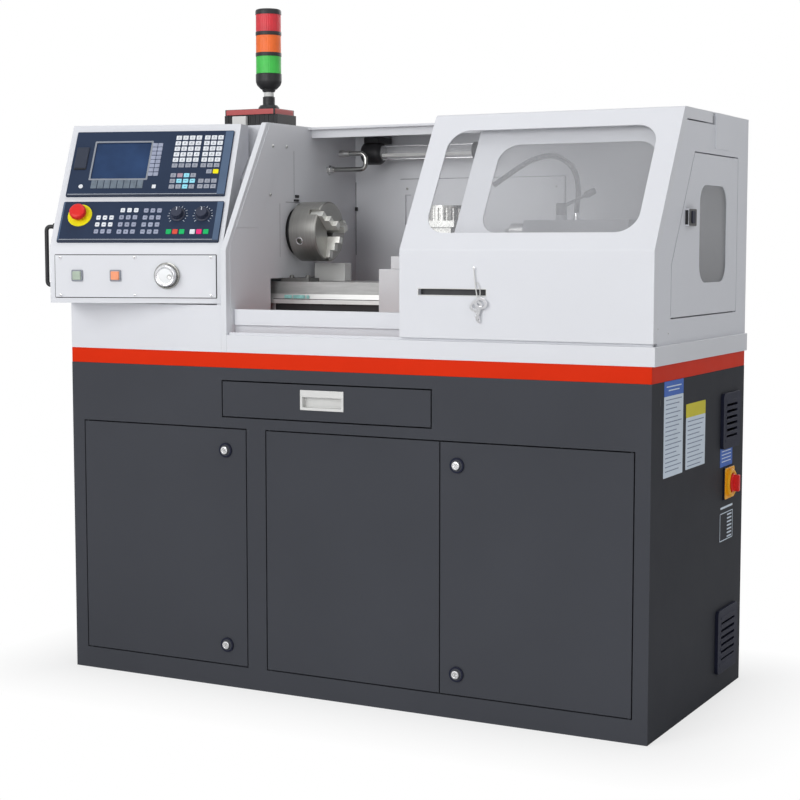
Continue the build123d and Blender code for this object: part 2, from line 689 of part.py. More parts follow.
control_box.part.label = "control_box"
export_step(control_box.part, "parts/control_box.step")

# Operator panels: upper one with screen and keys, lower one with keys, lamps and dials
key = 11
key_proud = 1.2
screen_x = (-669, -530)
screen_s = (186, 289)
screen_depth = 2
soft_key = (14.5, 22)
soft_key_pitch = 16.6
soft_key_start = (-657, 169.5)
flap_x = (-716, -685)
flap_s = (215, 275)
flap_proud = 4
stop_spot = (-677, 82)
stop_disc_radius = 30
stop_stem_radius = 11
feed_knob_spot = (-434, 83)
speed_knob_spot = (-373, 83)
dial_shaft_radius = 5
# Each key field: first key centre, key columns and rows, and pitches
key_fields = (
    (-463, 301.5, 4, 6, 16.8, 16),
    (-391.8, 300.7, 3, 6, 16.4, 15.9),
    (-462, 194.2, 4, 3, 16.5, 15.9),
    (-391, 178, 3, 2, 16, 15.3),
    (-375, 204.5, 2, 1, 16.6, 16),
    (-519.5, 282, 2, 8, 13, 12),
    (-629, 76.2, 3, 3, 16.2, 19.1),
    (-572.5, 96.4, 3, 4, 16.8, 19.8),
    (-514.2, 95.4, 3, 4, 16.5, 19.5),
    (-450.3, 36.8, 3, 1, 16.1, 19),
    (-392.2, 36.8, 3, 1, 16.4, 19),
)
with BuildPart() as operator_panels:
    for x_limits, s_limits in panel_limits:
        with BuildSketch(panel_plane) as plate_outline:
            with Locations(((x_limits[0] + x_limits[1]) / 2, (s_limits[0] + s_limits[1]) / 2)):
                RectangleRounded(x_limits[1] - x_limits[0], s_limits[1] - s_limits[0], 2)
        extrude(plate_outline.sketch, amount=panel_thick)
    with BuildSketch(panel_plane.offset(panel_thick)) as screen_outline:
        with Locations(((screen_x[0] + screen_x[1]) / 2, (screen_s[0] + screen_s[1]) / 2)):
            Rectangle(screen_x[1] - screen_x[0], screen_s[1] - screen_s[0])
    extrude(screen_outline.sketch, amount=-screen_depth, mode=Mode.SUBTRACT)
    with BuildSketch(panel_plane.offset(panel_thick)) as key_outlines:
        for first_x, first_s, columns, rows, pitch_x, pitch_s in key_fields:
            for column in range(columns):
                for row in range(rows):
                    with Locations((first_x + column * pitch_x, first_s - row * pitch_s)):
                        Rectangle(key, key)
        for soft_column in range(8):
            with Locations((soft_key_start[0] + soft_column * soft_key_pitch, soft_key_start[1])):
                Rectangle(*soft_key)
    extrude(key_outlines.sketch, amount=key_proud)
    with BuildSketch(panel_plane.offset(panel_thick)) as flap_outline:
        with Locations(((flap_x[0] + flap_x[1]) / 2, (flap_s[0] + flap_s[1]) / 2)):
            Rectangle(flap_x[1] - flap_x[0], flap_s[1] - flap_s[0])
    extrude(flap_outline.sketch, amount=flap_proud)
    with BuildSketch(panel_plane.offset(panel_thick)) as stop_disc:
        with Locations(stop_spot):
            Circle(stop_disc_radius)
    extrude(stop_disc.sketch, amount=cover_sheet)
    with BuildSketch(panel_plane.offset(-1)) as control_holes:
        with Locations(stop_spot):
            Circle(stop_stem_radius + bearing_gap)
        with Locations(feed_knob_spot, speed_knob_spot):
            Circle(dial_shaft_radius + bearing_gap)
    extrude(control_holes.sketch, amount=panel_thick + 10, mode=Mode.SUBTRACT)
operator_panels.part = swung(operator_panels.part)
operator_panels.part.label = "operator_panels"
export_step(operator_panels.part, "parts/operator_panels.step")

# Emergency stop: mushroom head on a stem through the lower panel
stop_travel = 5
stop_head_radius = 20
stop_head_height = 16
stop_base = panel_thick + cover_sheet + stop_travel + 3
with BuildPart() as emergency_stop:
    with BuildSketch(panel_plane.offset(-stop_travel)) as stem_outline:
        with Locations(stop_spot):
            Circle(stop_stem_radius)
    extrude(stem_outline.sketch, amount=stop_base + stop_travel + 1)
    with BuildSketch(panel_plane.offset(stop_base)) as head_outline:
        with Locations(stop_spot):
            Circle(stop_head_radius)
    extrude(head_outline.sketch, amount=stop_head_height)
    head_rim = emergency_stop.faces().sort_by(panel_normal)[-1].edges()
    fillet(head_rim, 5)
emergency_stop.part = swung(emergency_stop.part)
emergency_stop.part.label = "emergency_stop"
export_step(emergency_stop.part, "parts/emergency_stop.step")

# Override dials: skirted knobs with a pointer bar
knob_radius = 14
skirt_radius = 18
skirt_height = 4
knob_height = 17
for knob_name, knob_spot in (("feed_knob", feed_knob_spot), ("speed_knob", speed_knob_spot)):
    with BuildPart() as knob:
        with BuildSketch(panel_plane.offset(-3)) as shaft_outline:
            with Locations(knob_spot):
                Circle(dial_shaft_radius)
        extrude(shaft_outline.sketch, amount=panel_thick + 4)
        with BuildSketch(panel_plane.offset(panel_thick + running_gap)) as skirt_outline:
            with Locations(knob_spot):
                Circle(skirt_radius)
        extrude(skirt_outline.sketch, amount=skirt_height)
        with BuildSketch(panel_plane.offset(panel_thick + skirt_height)) as grip_outline:
            with Locations(knob_spot):
                Circle(knob_radius)
        extrude(grip_outline.sketch, amount=knob_height - skirt_height)
        with BuildSketch(panel_plane.offset(panel_thick + knob_height)) as pointer_outline:
            with Locations((knob_spot[0], knob_spot[1] + knob_radius / 2)):
                Rectangle(2, knob_radius - 3)
        extrude(pointer_outline.sketch, amount=-1.5, mode=Mode.SUBTRACT)
    knob.part = swung(knob.part)
    knob.part.label = knob_name
    export_step(knob.part, "parts/" + knob_name + ".step")

# Button plate: screwed plate on the upright face with two bezels and the handwheel boss
plate_thick = 3
button_spots = (("start_button", -671), ("stop_button", -576))
button_z = plate_z[0] + 51
bezel = 26
button_cap = 20
button_travel = 3
cap_gap = 0.08
screw_radius = 4
screw_proud = 2
wheel_shaft_radius = 8
plate_face = box_front - plate_thick
bezel_proud = 4
with BuildPart() as button_plate:
    block(plate_x, (plate_face, box_front), plate_z)
    for _, button_x in button_spots:
        limits_x = (button_x - bezel / 2, button_x + bezel / 2)
        limits_z = (button_z - bezel / 2, button_z + bezel / 2)
        block(limits_x, (plate_face - bezel_proud, box_front + 10), limits_z)
    for _, button_x in button_spots:
        half = button_cap / 2 + cap_gap
        hole_y = (plate_face - bezel_proud - 1, box_front + 11)
        block((button_x - half, button_x + half), hole_y, (button_z - half, button_z + half), Mode.SUBTRACT)
    wheel_start = (wheel_spot[0], plate_face - 1, wheel_spot[1])
    round_bar(wheel_start, plate_thick + 2, wheel_shaft_radius + bearing_gap, Axis.Y, Mode.SUBTRACT)
    for screw_x in (plate_x[0] + 13, (plate_x[0] + plate_x[1]) / 2, plate_x[1] - 11):
        for screw_z in (plate_z[0] + 5, plate_z[1] - 5):
            round_bar((screw_x, plate_face - screw_proud, screw_z), screw_proud, screw_radius, Axis.Y)
button_plate.part = swung(button_plate.part)
button_plate.part.label = "button_plate"
export_step(button_plate.part, "parts/button_plate.step")

# Push buttons: square caps sprung in their bezels
for button_name, button_x in button_spots:
    with BuildPart() as button:
        half = button_cap / 2
        cap_front = plate_face - bezel_proud - button_travel - 1
        cap_z = (button_z - half, button_z + half)
        block((button_x - half, button_x + half), (cap_front, box_front + 4), cap_z)
        rim_edges = button.faces().sort_by(Axis.Y)[0].edges()
        chamfer(rim_edges, 1.5)
    button.part = swung(button.part)
    button.part.label = button_name
    export_step(button.part, "parts/" + button_name + ".step")

# Jog handwheel: turned wheel on a shaft through the button plate
wheel_radius = 27
wheel_depth = 22
wheel_rim = 8
dimple_radius = 5
with BuildPart() as jog_handwheel:
    wheel_x, wheel_z = wheel_spot
    round_bar((wheel_x, plate_face - 4, wheel_z), plate_thick + 12, wheel_shaft_radius, Axis.Y)
    round_bar((wheel_x, plate_face - running_gap - wheel_depth, wheel_z), wheel_depth, wheel_radius, Axis.Y)
    front_rim = jog_handwheel.faces().sort_by(Axis.Y)[0].edges()
    fillet(front_rim, 4)
    dish_y = plate_face - running_gap - wheel_depth - 1
    round_bar((wheel_x, dish_y, wheel_z), 4, wheel_radius - wheel_rim, Axis.Y, Mode.SUBTRACT)
    round_bar((wheel_x + 12, dish_y, wheel_z - 2), 9, dimple_radius, Axis.Y, Mode.SUBTRACT)
jog_handwheel.part = swung(jog_handwheel.part)
jog_handwheel.part.label = "jog_handwheel"
export_step(jog_handwheel.part, "parts/jog_handwheel.step")

# Bow handle on the left side of the control box
handle_radius = 5
handle_reach = 22
handle_bend = 12
handle_y = box_front + 38
handle_z = (box_bottom + 41, box_bottom + 181)
with BuildPart() as control_box_handle:
    bow_x = box_left - handle_reach
    with BuildLine() as bow:
        FilletPolyline(
            (box_left, handle_y, handle_z[1]),
            (bow_x, handle_y, handle_z[1]),
            (bow_x, handle_y, handle_z[0]),
            (box_left, handle_y, handle_z[0]),
            radius=handle_bend,
        )
    with BuildSketch(Plane(origin=bow.line @ 0, z_dir=(-1, 0, 0))) as bow_section:
        Circle(handle_radius)
    sweep(bow_section.sketch, path=bow.line)
control_box_handle.part = swung(control_box_handle.part)
control_box_handle.part.label = "control_box_handle"
export_step(control_box_handle.part, "parts/control_box_handle.step")

# Signal tower: foot, stem, tapered base, spacer rings and cap with three lenses between them
tower_spot = (-366, -20)
tower_radius = 32
tower_post = 10
junction_height = 26
lid_height = 14
lens_height = 42
ring_height = 9
tower_stem = 50
tower_taper = 16
tower_base_height = 38
tower_foot_z = roof_height + junction_height + lid_height
base_z = tower_foot_z + tower_stem
lens_start = base_z + tower_base_height
with BuildPart() as signal_tower_body:
    round_bar((*tower_spot, tower_foot_z), 11, 26)
    round_bar((*tower_spot, tower_foot_z + 11), base_z - tower_foot_z - 11, 15)
    with BuildSketch(Plane.XY.offset(base_z)) as taper_bottom:
        with Locations(tower_spot):
            Circle(20)
    with BuildSketch(Plane.XY.offset(base_z + tower_taper)) as taper_top:
        with Locations(tower_spot):
            Circle(tower_radius)
    loft([taper_bottom.sketch.faces()[0], taper_top.sketch.faces()[0]])
    round_bar((*tower_spot, base_z + tower_taper), tower_base_height - tower_taper, tower_radius)
    round_bar((*tower_spot, lens_start - 1), 3 * lens_height + 2 * ring_height + 2, tower_post)
    for level in (1, 2):
        ring_z = lens_start + level * lens_height + (level - 1) * ring_height
        round_bar((*tower_spot, ring_z), ring_height, tower_radius)
    cap_z = lens_start + 3 * lens_height + 2 * ring_height
    round_bar((*tower_spot, cap_z), 13, tower_radius)
    cap_rim = signal_tower_body.faces().sort_by(Axis.Z)[-1].edges()
    fillet(cap_rim, 5)
signal_tower_body.part.label = "signal_tower_body"
export_step(signal_tower_body.part, "parts/signal_tower_body.step")

for level, colour in enumerate(("green", "amber", "red")):
    with BuildPart() as lens:
        lens_z = lens_start + level * (lens_height + ring_height)
        round_bar((*tower_spot, lens_z), lens_height, tower_radius)
        round_bar((*tower_spot, lens_z - 1), lens_height + 2, tower_radius - 4, mode=Mode.SUBTRACT)
    lens.part.label = "signal_lens_" + colour
    export_step(lens.part, "parts/signal_lens_" + colour + ".step")

# Junction box under the tower: ribbed body, lid and plug block
junction_x = (-470, -314)
junction_y = (-62, 24)
with BuildPart() as junction_box:
    block(junction_x, junction_y, (roof_height, roof_height + junction_height))
    for rib in range(12):
        rib_x = junction_x[0] + 8 + rib * 13
        rib_z = (roof_height, roof_height + junction_height)
        block((rib_x, rib_x + 5), (junction_y[0] - 2, junction_y[0]), rib_z)
    lid_x = (junction_x[0] + 4, junction_x[1] - 8)
    lid_z = (roof_height + junction_height, tower_foot_z)
    block(lid_x, (junction_y[0] - 3, junction_y[1] + 3), lid_z)
    plug_x = (junction_x[0] + 29, junction_x[1] - 88)
    block(plug_x, (junction_y[0] - 9, junction_y[0]), (roof_height, roof_height + 22))
junction_box.part.label = "junction_box"
export_step(junction_box.part, "parts/junction_box.step")

# Bed: casting with two ways, raised spine, feet in the tray, end clamp and guard blocks
bed_x = (-690, 720)
bed_half = 108
way_half = 122
ridge_y = (102, 118)
spine_half = 92
clamp_height = 9
guard_height = 44
bed_length = bed_x[1] - bed_x[0]
with BuildPart() as bed:
    block(bed_x, (-bed_half, bed_half), (bed_bottom, way_z))
    block(bed_x, (-way_half, way_half), (way_z, way_top))
    block(bed_x, (-spine_half, spine_half), (way_top, spine_top))
    for side in (-1, 1):
        ridge = [
            (side * ridge_y[0], way_top),
            (side * (ridge_y[0] + 5), ridge_top),
            (side * (ridge_y[1] - 5), ridge_top),
            (side * ridge_y[1], way_top),
        ]
        slab(Plane.YZ.offset(bed_x[0]), ridge, bed_length)
    for foot_x in ((-660, -420), (460, 700)):
        block(foot_x, (-bed_half, bed_half), (tray_floor_top, bed_bottom))
    block((-290, -211), (-90, -40), (spine_top, spine_top + clamp_height))
    for screw_x in (-274, -228):
        round_bar((screw_x, -65, spine_top + clamp_height), 8, 6)
    block((-284, -196), (60, spine_half), (spine_top, spine_top + guard_height))
bed.part.label = "bed"
export_step(bed.part, "parts/bed.step")

# Headstock: hollow casting on the bed with the spindle bearings and the drive motor behind it
headstock_x = (-680, -330)
headstock_half = 110
headstock_top = spindle_z + 111
headstock_wall = 15
bearing_length = 60
spindle_radius = 30
motor_radius = 72
motor_spot = (210, spindle_z - 49)
motor_x = (-670, -400)
with BuildPart() as headstock:
    block(headstock_x, (-headstock_half, headstock_half), (spine_top, headstock_top))
    hollow_x = (headstock_x[0] + headstock_wall, headstock_x[1] - headstock_wall)
    hollow_y = (-headstock_half + headstock_wall, headstock_half - headstock_wall)
    hollow_z = (spine_top + headstock_wall, headstock_top - headstock_wall)
    block(hollow_x, hollow_y, hollow_z, Mode.SUBTRACT)
    for bearing_x in (headstock_x[0], headstock_x[1] - bearing_length):
        round_bar((bearing_x, 0, spindle_z), bearing_length, spindle_radius + 18, Axis.X)
    round_bar((motor_x[0], *motor_spot), motor_x[1] - motor_x[0], motor_radius, Axis.X)
    arm_z = (motor_spot[1] - 30, motor_spot[1] + 30)
    block((motor_x[0] + 50, motor_x[1] - 50), (headstock_half - 1, motor_spot[0]), arm_z)
    bore_start = (headstock_x[0] - 1, 0, spindle_z)
    bore_length = headstock_x[1] - headstock_x[0] + 2
    round_bar(bore_start, bore_length, spindle_radius + bearing_gap, Axis.X, Mode.SUBTRACT)
headstock.part.label = "headstock"
export_step(headstock.part, "parts/headstock.step")

# Spindle: hollow shaft with a pulley at the tail and the dark back plate at the nose
chuck_back = -280
back_plate_radius = 55
back_plate_thick = 22
spindle_bore = 13
spindle_tail = -726
pulley_start = spindle_tail + 4
pulley_length = 36
pulley_radius = 62
with BuildPart() as spindle:
    round_bar((spindle_tail, 0, spindle_z), chuck_back - spindle_tail, spindle_radius, Axis.X)
    plate_start = chuck_back - back_plate_thick
    round_bar((plate_start, 0, spindle_z), back_plate_thick, back_plate_radius, Axis.X)
    round_bar((pulley_start, 0, spindle_z), pulley_length, pulley_radius, Axis.X)
    for groove in range(4):
        with BuildSketch(Plane.YZ.offset(pulley_start + 4 + groove * 8)) as groove_ring:
            with Locations((0, spindle_z)):
                Circle(pulley_radius + 1)
                Circle(pulley_radius - 5, mode=Mode.SUBTRACT)
        extrude(groove_ring.sketch, amount=4, mode=Mode.SUBTRACT)
    tail_start = (spindle_tail - 1, 0, spindle_z)
    round_bar(tail_start, chuck_back - spindle_tail + 2, spindle_bore, Axis.X, Mode.SUBTRACT)
spindle.part.label = "spindle"
export_step(spindle.part, "parts/spindle.step")

# Chuck body: turned cylinder with three jaw slots and key sockets
chuck_radius = 73
chuck_length = 76
chuck_front = chuck_back + chuck_length
chuck_bore = 16
jaw_angles = (139, 259, 19)
jaw_width = 16
jaw_slot_depth = 26
socket_radius = 7
with BuildPart() as chuck_body:
    round_bar((chuck_back, 0, spindle_z), chuck_length, chuck_radius, Axis.X)
    rim_edges = chuck_body.edges().filter_by(GeomType.CIRCLE)
    chamfer(rim_edges, 2.5)
    round_bar((chuck_back - 1, 0, spindle_z), chuck_length + 2, chuck_bore, Axis.X, Mode.SUBTRACT)
    for jaw_angle in jaw_angles:
        along = (0, cos(radians(jaw_angle)), sin(radians(jaw_angle)))
        slot_plane = Plane(origin=(chuck_front + 1, 0, spindle_z), x_dir=along, z_dir=(-1, 0, 0))
        slot_width = jaw_width + 2 * running_gap
        with BuildSketch(slot_plane) as slot_outline:
            with Locations((chuck_radius / 2 + 10, 0)):
                Rectangle(chuck_radius + 20, slot_width)
        extrude(slot_outline.sketch, amount=jaw_slot_depth + 1, mode=Mode.SUBTRACT)
        socket_turn = radians(jaw_angle + 60)
        outward = (0, cos(socket_turn), sin(socket_turn))
        socket_axis = Plane(origin=(chuck_back + 30, 0, spindle_z), z_dir=outward)
        socket_start = socket_axis.offset(chuck_radius - 16)
        with BuildSketch(socket_start) as socket_outline:
            Circle(socket_radius)
        extrude(socket_outline.sketch, amount=20, mode=Mode.SUBTRACT)
chuck_body.part.label = "chuck_body"
export_step(chuck_body.part, "parts/chuck_body.step")

# Chuck jaws: three stepped jaws in the slots
jaw_inner = 14
jaw_outer = 66
jaw_steps = ((14, 34), (30, 22), (48, 10))
for number, jaw_angle in enumerate(jaw_angles, start=1):
    along = (0, cos(radians(jaw_angle)), sin(radians(jaw_angle)))
    across = (0, -sin(radians(jaw_angle)), cos(radians(jaw_angle)))
    root_x = chuck_front - jaw_slot_depth + running_gap
    with BuildPart() as jaw:
        jaw_plane = Plane(origin=(0, 0, spindle_z), x_dir=along, z_dir=across).offset(-jaw_width / 2)
        jaw_outline = [(jaw_inner, -root_x)]
        for step_start, step_height in jaw_steps:
            jaw_outline.append((step_start, -chuck_front - step_height))
            next_starts = [start for start, _ in jaw_steps if start > step_start] + [jaw_outer]
            jaw_outline.append((next_starts[0], -chuck_front - step_height))
        jaw_outline.append((jaw_outer, -root_x))
        slab(jaw_plane, jaw_outline, jaw_width)
    jaw.part.label = "chuck_jaw_" + str(number)
    export_step(jaw.part, "parts/chuck_jaw_" + str(number) + ".step")

# Carriage: saddle over the ways with an apron at the front and back
carriage_x = (15, 215)
saddle_half = 150
apron_inner = 126
saddle_inner = 96
carriage_top = spine_top + 33
apron_bottom = way_z - 20


def saddle_outline(top):
    """A saddle in side view that straddles the ways and the spine."""
    ride = ridge_top + running_gap
    roof = spine_top + running_gap
    half = [
        (saddle_half, top),
        (saddle_half, apron_bottom),
        (apron_inner, apron_bottom),
        (apron_inner, ride),
        (saddle_inner, ride),
        (saddle_inner, roof),
    ]
    return half + [(-y, z) for y, z in half[::-1]]


with BuildPart() as carriage:
    slab(Plane.YZ.offset(carriage_x[0]), saddle_outline(carriage_top), carriage_x[1] - carriage_x[0])
carriage.part.label = "carriage"
export_step(carriage.part, "parts/carriage.step")

# Cross slide with the turret seat
turret_x = 112
cross_slide_z = (carriage_top + running_gap, carriage_top + 30)
cross_half_x = 65
cross_half_y = 150
turret_seat_half = 52
turret_seat_top = cross_slide_z[1] + 20
with BuildPart() as cross_slide:
    slide_x = (turret_x - cross_half_x, turret_x + cross_half_x)
    block(slide_x, (-cross_half_y, cross_half_y), cross_slide_z)
    seat_x = (turret_x - turret_seat_half, turret_x + turret_seat_half)
    block(seat_x, (-turret_seat_half, turret_seat_half), (cross_slide_z[1], turret_seat_top))
cross_slide.part.label = "cross_slide"
export_step(cross_slide.part, "parts/cross_slide.step")

# Tool turret: four sided tool block with a fluted clamping drum
turret_half = 48
turret_block_top = turret_seat_top + 63
turret_top = turret_block_top + 36
drum_radius = 46
flute_radius = 4
flute_count = 18
tool_slot_z = (turret_seat_top + 26, turret_seat_top + 48)
tool_slot_depth = 16
with BuildPart() as tool_turret:
    block_z = (turret_seat_top + running_gap, turret_block_top)
    block((turret_x - turret_half, turret_x + turret_half), (-turret_half, turret_half), block_z)
    for side in (-1, 1):
        slot_near = sorted((side * (turret_half - tool_slot_depth), side * (turret_half + 1)))
        tool_slot_x = [turret_x + limit for limit in slot_near]
        block(tool_slot_x, (-turret_half - 1, turret_half + 1), tool_slot_z, Mode.SUBTRACT)
        across_x = (turret_x - turret_half - 1, turret_x + turret_half + 1)
        block(across_x, slot_near, tool_slot_z, Mode.SUBTRACT)
    round_bar((turret_x, 0, turret_block_top), turret_top - turret_block_top, drum_radius)
    with BuildSketch(Plane.XY.offset(turret_block_top)) as flute_outline:
        with Locations((turret_x, 0)):
            with PolarLocations(drum_radius + 1, flute_count):
                Circle(flute_radius)
    extrude(flute_outline.sketch, amount=turret_top - turret_block_top - 6, mode=Mode.SUBTRACT)
tool_turret.part.label = "tool_turret"
export_step(tool_turret.part, "parts/tool_turret.step")

# Tailstock: saddle and upright body with the quill bore
tailstock_x = (340, 560)
tail_body_x = (335, 590)
tail_half = 42
tail_top = spindle_z + 24
nose_length = 12
quill_bore_length = 230
quill_radius = 17
lever_x = 411
lever_shaft_radius = 7
lever_boss_top = tail_top + 11
with BuildPart() as tailstock:
    slab(Plane.YZ.offset(tailstock_x[0]), saddle_outline(carriage_top), tailstock_x[1] - tailstock_x[0])
    block(tail_body_x, (-tail_half, tail_half), (carriage_top, tail_top))
    nose_start = tail_body_x[0] - nose_length
    round_bar((nose_start, 0, spindle_z), nose_length + 1, 24, Axis.X)
    round_bar((lever_x, 0, tail_top), lever_boss_top - tail_top, 13)
    quill_bore = quill_radius + bearing_gap
    round_bar((nose_start - 1, 0, spindle_z), quill_bore_length, quill_bore, Axis.X, Mode.SUBTRACT)
    round_bar((lever_x, 0, tail_top - 4), 20, lever_shaft_radius + bearing_gap, mode=Mode.SUBTRACT)
tailstock.part.label = "tailstock"
export_step(tailstock.part, "parts/tailstock.step")

# Tailstock quill with its turning centre
quill_start = 292
quill_length = 250
cone_radius = 11
cone_neck = 6
cone_length = 18
with BuildPart() as tailstock_quill:
    round_bar((quill_start, 0, spindle_z), quill_length, quill_radius, Axis.X)
    round_bar((quill_start - cone_neck, 0, spindle_z), cone_neck + 1, cone_radius, Axis.X)
    with BuildSketch(Plane.YZ.offset(quill_start - cone_neck)) as cone_base:
        with Locations((0, spindle_z)):
            Circle(cone_radius)
    with BuildSketch(Plane.YZ.offset(quill_start - cone_neck - cone_length)) as cone_tip:
        with Locations((0, spindle_z)):
            Circle(1)
    loft([cone_base.sketch.faces()[0], cone_tip.sketch.faces()[0]])
tailstock_quill.part.label = "tailstock_quill"
export_step(tailstock_quill.part, "parts/tailstock_quill.step")

# Tailstock clamp lever: round hub with a leaned rod and ball knob
lever_hub_radius = 12.5
lever_hub_height = 28
grip_length = 26
knob_end = (lever_x + 83, tail_top + 67)
with BuildPart() as tailstock_lever:
    round_bar((lever_x, 0, tail_top - 3), lever_boss_top - tail_top + 5, lever_shaft_radius)
    round_bar((lever_x, 0, lever_boss_top + running_gap), lever_hub_height, lever_hub_radius)
    rod_start = (lever_x, lever_boss_top + 18)
    run_x = knob_end[0] - rod_start[0]
    run_z = knob_end[1] - rod_start[1]
    rod_length = (run_x**2 + run_z**2) ** 0.5
    rod_plane = Plane(origin=(rod_start[0], 0, rod_start[1]), z_dir=(run_x, 0, run_z))
    with BuildSketch(rod_plane) as rod_outline:
        Circle(4)
    extrude(rod_outline.sketch, amount=rod_length)
    with BuildSketch(rod_plane.offset(rod_length - grip_length)) as grip_outline:
        Circle(8)
    extrude(grip_outline.sketch, amount=grip_length)
tailstock_lever.part.label = "tailstock_lever"
export_step(tailstock_lever.part, "parts/tailstock_lever.step")

# Gooseneck coolant hose on the tailstock: self supporting ribbed hose with a chrome foot
hose_radius = 6.5
hose_x = 436
hose_y = 30
with BuildPart() as coolant_gooseneck:
    round_bar((hose_x, hose_y, tail_top), 16, 10)
    with BuildLine() as hose_line:
        FilletPolyline(
            (hose_x, hose_y, tail_top + 10),
            (hose_x + 4, hose_y, tail_top + 69),
            (hose_x - 26, hose_y, tail_top + 137),
            (hose_x - 80, hose_y, tail_top + 155),
            (hose_x - 142, hose_y, tail_top + 127),
            (hose_x - 209, hose_y, tail_top + 83),
            radius=(60, 60, 60, 60),
        )
    with BuildSketch(Plane(origin=hose_line.line @ 0, z_dir=hose_line.line % 0)) as hose_section:
        Circle(hose_radius)
    sweep(hose_section.sketch, path=hose_line.line)
coolant_gooseneck.part.label = "coolant_gooseneck"
export_step(coolant_gooseneck.part, "parts/coolant_gooseneck.step")

# Work lamp: clear tube between two end blocks on the rear wall
lamp_y = 220
lamp_z = roof_height - 60
lamp_block = 56
lamp_radius = 19
lamp_x = (-172, 86)
with BuildPart() as work_lamp:
    round_bar((lamp_x[0], lamp_y, lamp_z), lamp_x[1] - lamp_x[0], lamp_radius, Axis.X)
    block((lamp_x[0] - lamp_block, lamp_x[0]), (lamp_y - 30, lamp_y + 26), (lamp_z - 32, lamp_z + 41))
    block((lamp_x[1], lamp_x[1] + 22), (lamp_y - 22, lamp_y + 22), (lamp_z - 22, lamp_z + 22))
    for arm_x in (lamp_x[0] - 40, lamp_x[1] + 4):
        block((arm_x, arm_x + 14), (lamp_y + 20, rear_wall_y), (lamp_z - 8, lamp_z + 8))
work_lamp.part.label = "work_lamp"
export_step(work_lamp.part, "parts/work_lamp.step")

# Coolant pipe from the left wall, looped back over itself to its nozzle
pipe_y = 150
pipe_radius = 6
pipe_z = roof_height - 103
pipe_loop = 40
pipe_turn_x = partition_x + 109
nozzle_x = (partition_x + 33, partition_x + 63)
with BuildPart() as coolant_nozzle:
    with BuildLine() as pipe_line:
        FilletPolyline(
            (partition_x, pipe_y, pipe_z),
            (pipe_turn_x, pipe_y, pipe_z),
            (pipe_turn_x, pipe_y, pipe_z + pipe_loop),
            (nozzle_x[1] - 4, pipe_y, pipe_z + pipe_loop),
            radius=17,
        )
    with BuildSketch(Plane(origin=pipe_line.line @ 0, z_dir=pipe_line.line % 0)) as pipe_section:
        Circle(pipe_radius)
    sweep(pipe_section.sketch, path=pipe_line.line)
    round_bar((partition_x, pipe_y, pipe_z), 10, 12, Axis.X)
    round_bar((nozzle_x[0], pipe_y, pipe_z + pipe_loop), nozzle_x[1] - nozzle_x[0], 9, Axis.X)
coolant_nozzle.part.label = "coolant_nozzle"
export_step(coolant_nozzle.part, "parts/coolant_nozzle.step")

# Plates on the right side of the cabinet: two slotted fan covers and the main switch plate
fan_sizes = (130, 150)
fan_proud = 8
switch_y = (170, 245)
switch_z = (cabinet_height - 305, cabinet_height - 230)
switch_plate = 5
switch_shaft = 7
switch_spot = ((switch_y[0] + switch_y[1]) / 2, (switch_z[0] + switch_z[1]) / 2)
with BuildPart() as cabinet_side_plates:
    for (fan_y, fan_z), fan_size in zip(fan_spots, fan_sizes):
        with BuildSketch(Plane.YZ.offset(right)) as fan_outline:
            with Locations((fan_y, fan_z)):
                RectangleRounded(fan_size, fan_size, 12)
        extrude(fan_outline.sketch, amount=fan_proud)
        with BuildSketch(Plane.YZ.offset(right - 1)) as vent_outline:
            with Locations((fan_y, fan_z)):
                with GridLocations(fan_size, fan_size / 9, 1, 6):
                    Rectangle(fan_size - 50, 6)
        extrude(vent_outline.sketch, amount=fan_proud + 2, mode=Mode.SUBTRACT)
    block((right, right + switch_plate), switch_y, switch_z)
    shaft_bore = switch_shaft + bearing_gap
    round_bar((right - 1, *switch_spot), switch_plate + 2, shaft_bore, Axis.X, Mode.SUBTRACT)
cabinet_side_plates.part.label = "cabinet_side_plates"
export_step(cabinet_side_plates.part, "parts/cabinet_side_plates.step")

# Main switch: rotary grip on the plate
switch_radius = 21
with BuildPart() as main_switch_knob:
    round_bar((right + 1, *switch_spot), switch_plate + 4, switch_shaft, Axis.X)
    round_bar((right + switch_plate + running_gap, *switch_spot), 12, switch_radius, Axis.X)
    grip_x = (right + switch_plate + 12, right + switch_plate + 30)
    block(grip_x, (switch_spot[0] - 6, switch_spot[0] + 6), (switch_spot[1] - 20, switch_spot[1] + 20))
main_switch_knob.part.label = "main_switch_knob"
export_step(main_switch_knob.part, "parts/main_switch_knob.step")

# Electrical panel on the back of the right compartment
device_plate_x = (290, right - 40)
device_plate_z = (110, door_top - 16)
device_plate = 4
# Each device row: height over the plate's lower edge, device height and depth, and count
device_rows = ((360, 90, 70, 5), (220, 110, 110, 4), (40, 140, 90, 3))
with BuildPart() as electrical_panel:
    plate_back = rear - sheet
    plate_front = plate_back - device_plate
    block(device_plate_x, (plate_front, plate_back), device_plate_z)
    for row_lift, device_height, device_depth, device_count in device_rows:
        row_z = device_plate_z[0] + row_lift
        pitch = (device_plate_x[1] - device_plate_x[0] - 30) / device_count
        for device in range(device_count):
            device_x = device_plate_x[0] + 20 + device * pitch
            device_y = (plate_front - device_depth, plate_front)
            block((device_x, device_x + pitch - 12), device_y, (row_z, row_z + device_height))
electrical_panel.part.label = "electrical_panel"
export_step(electrical_panel.part, "parts/electrical_panel.step")

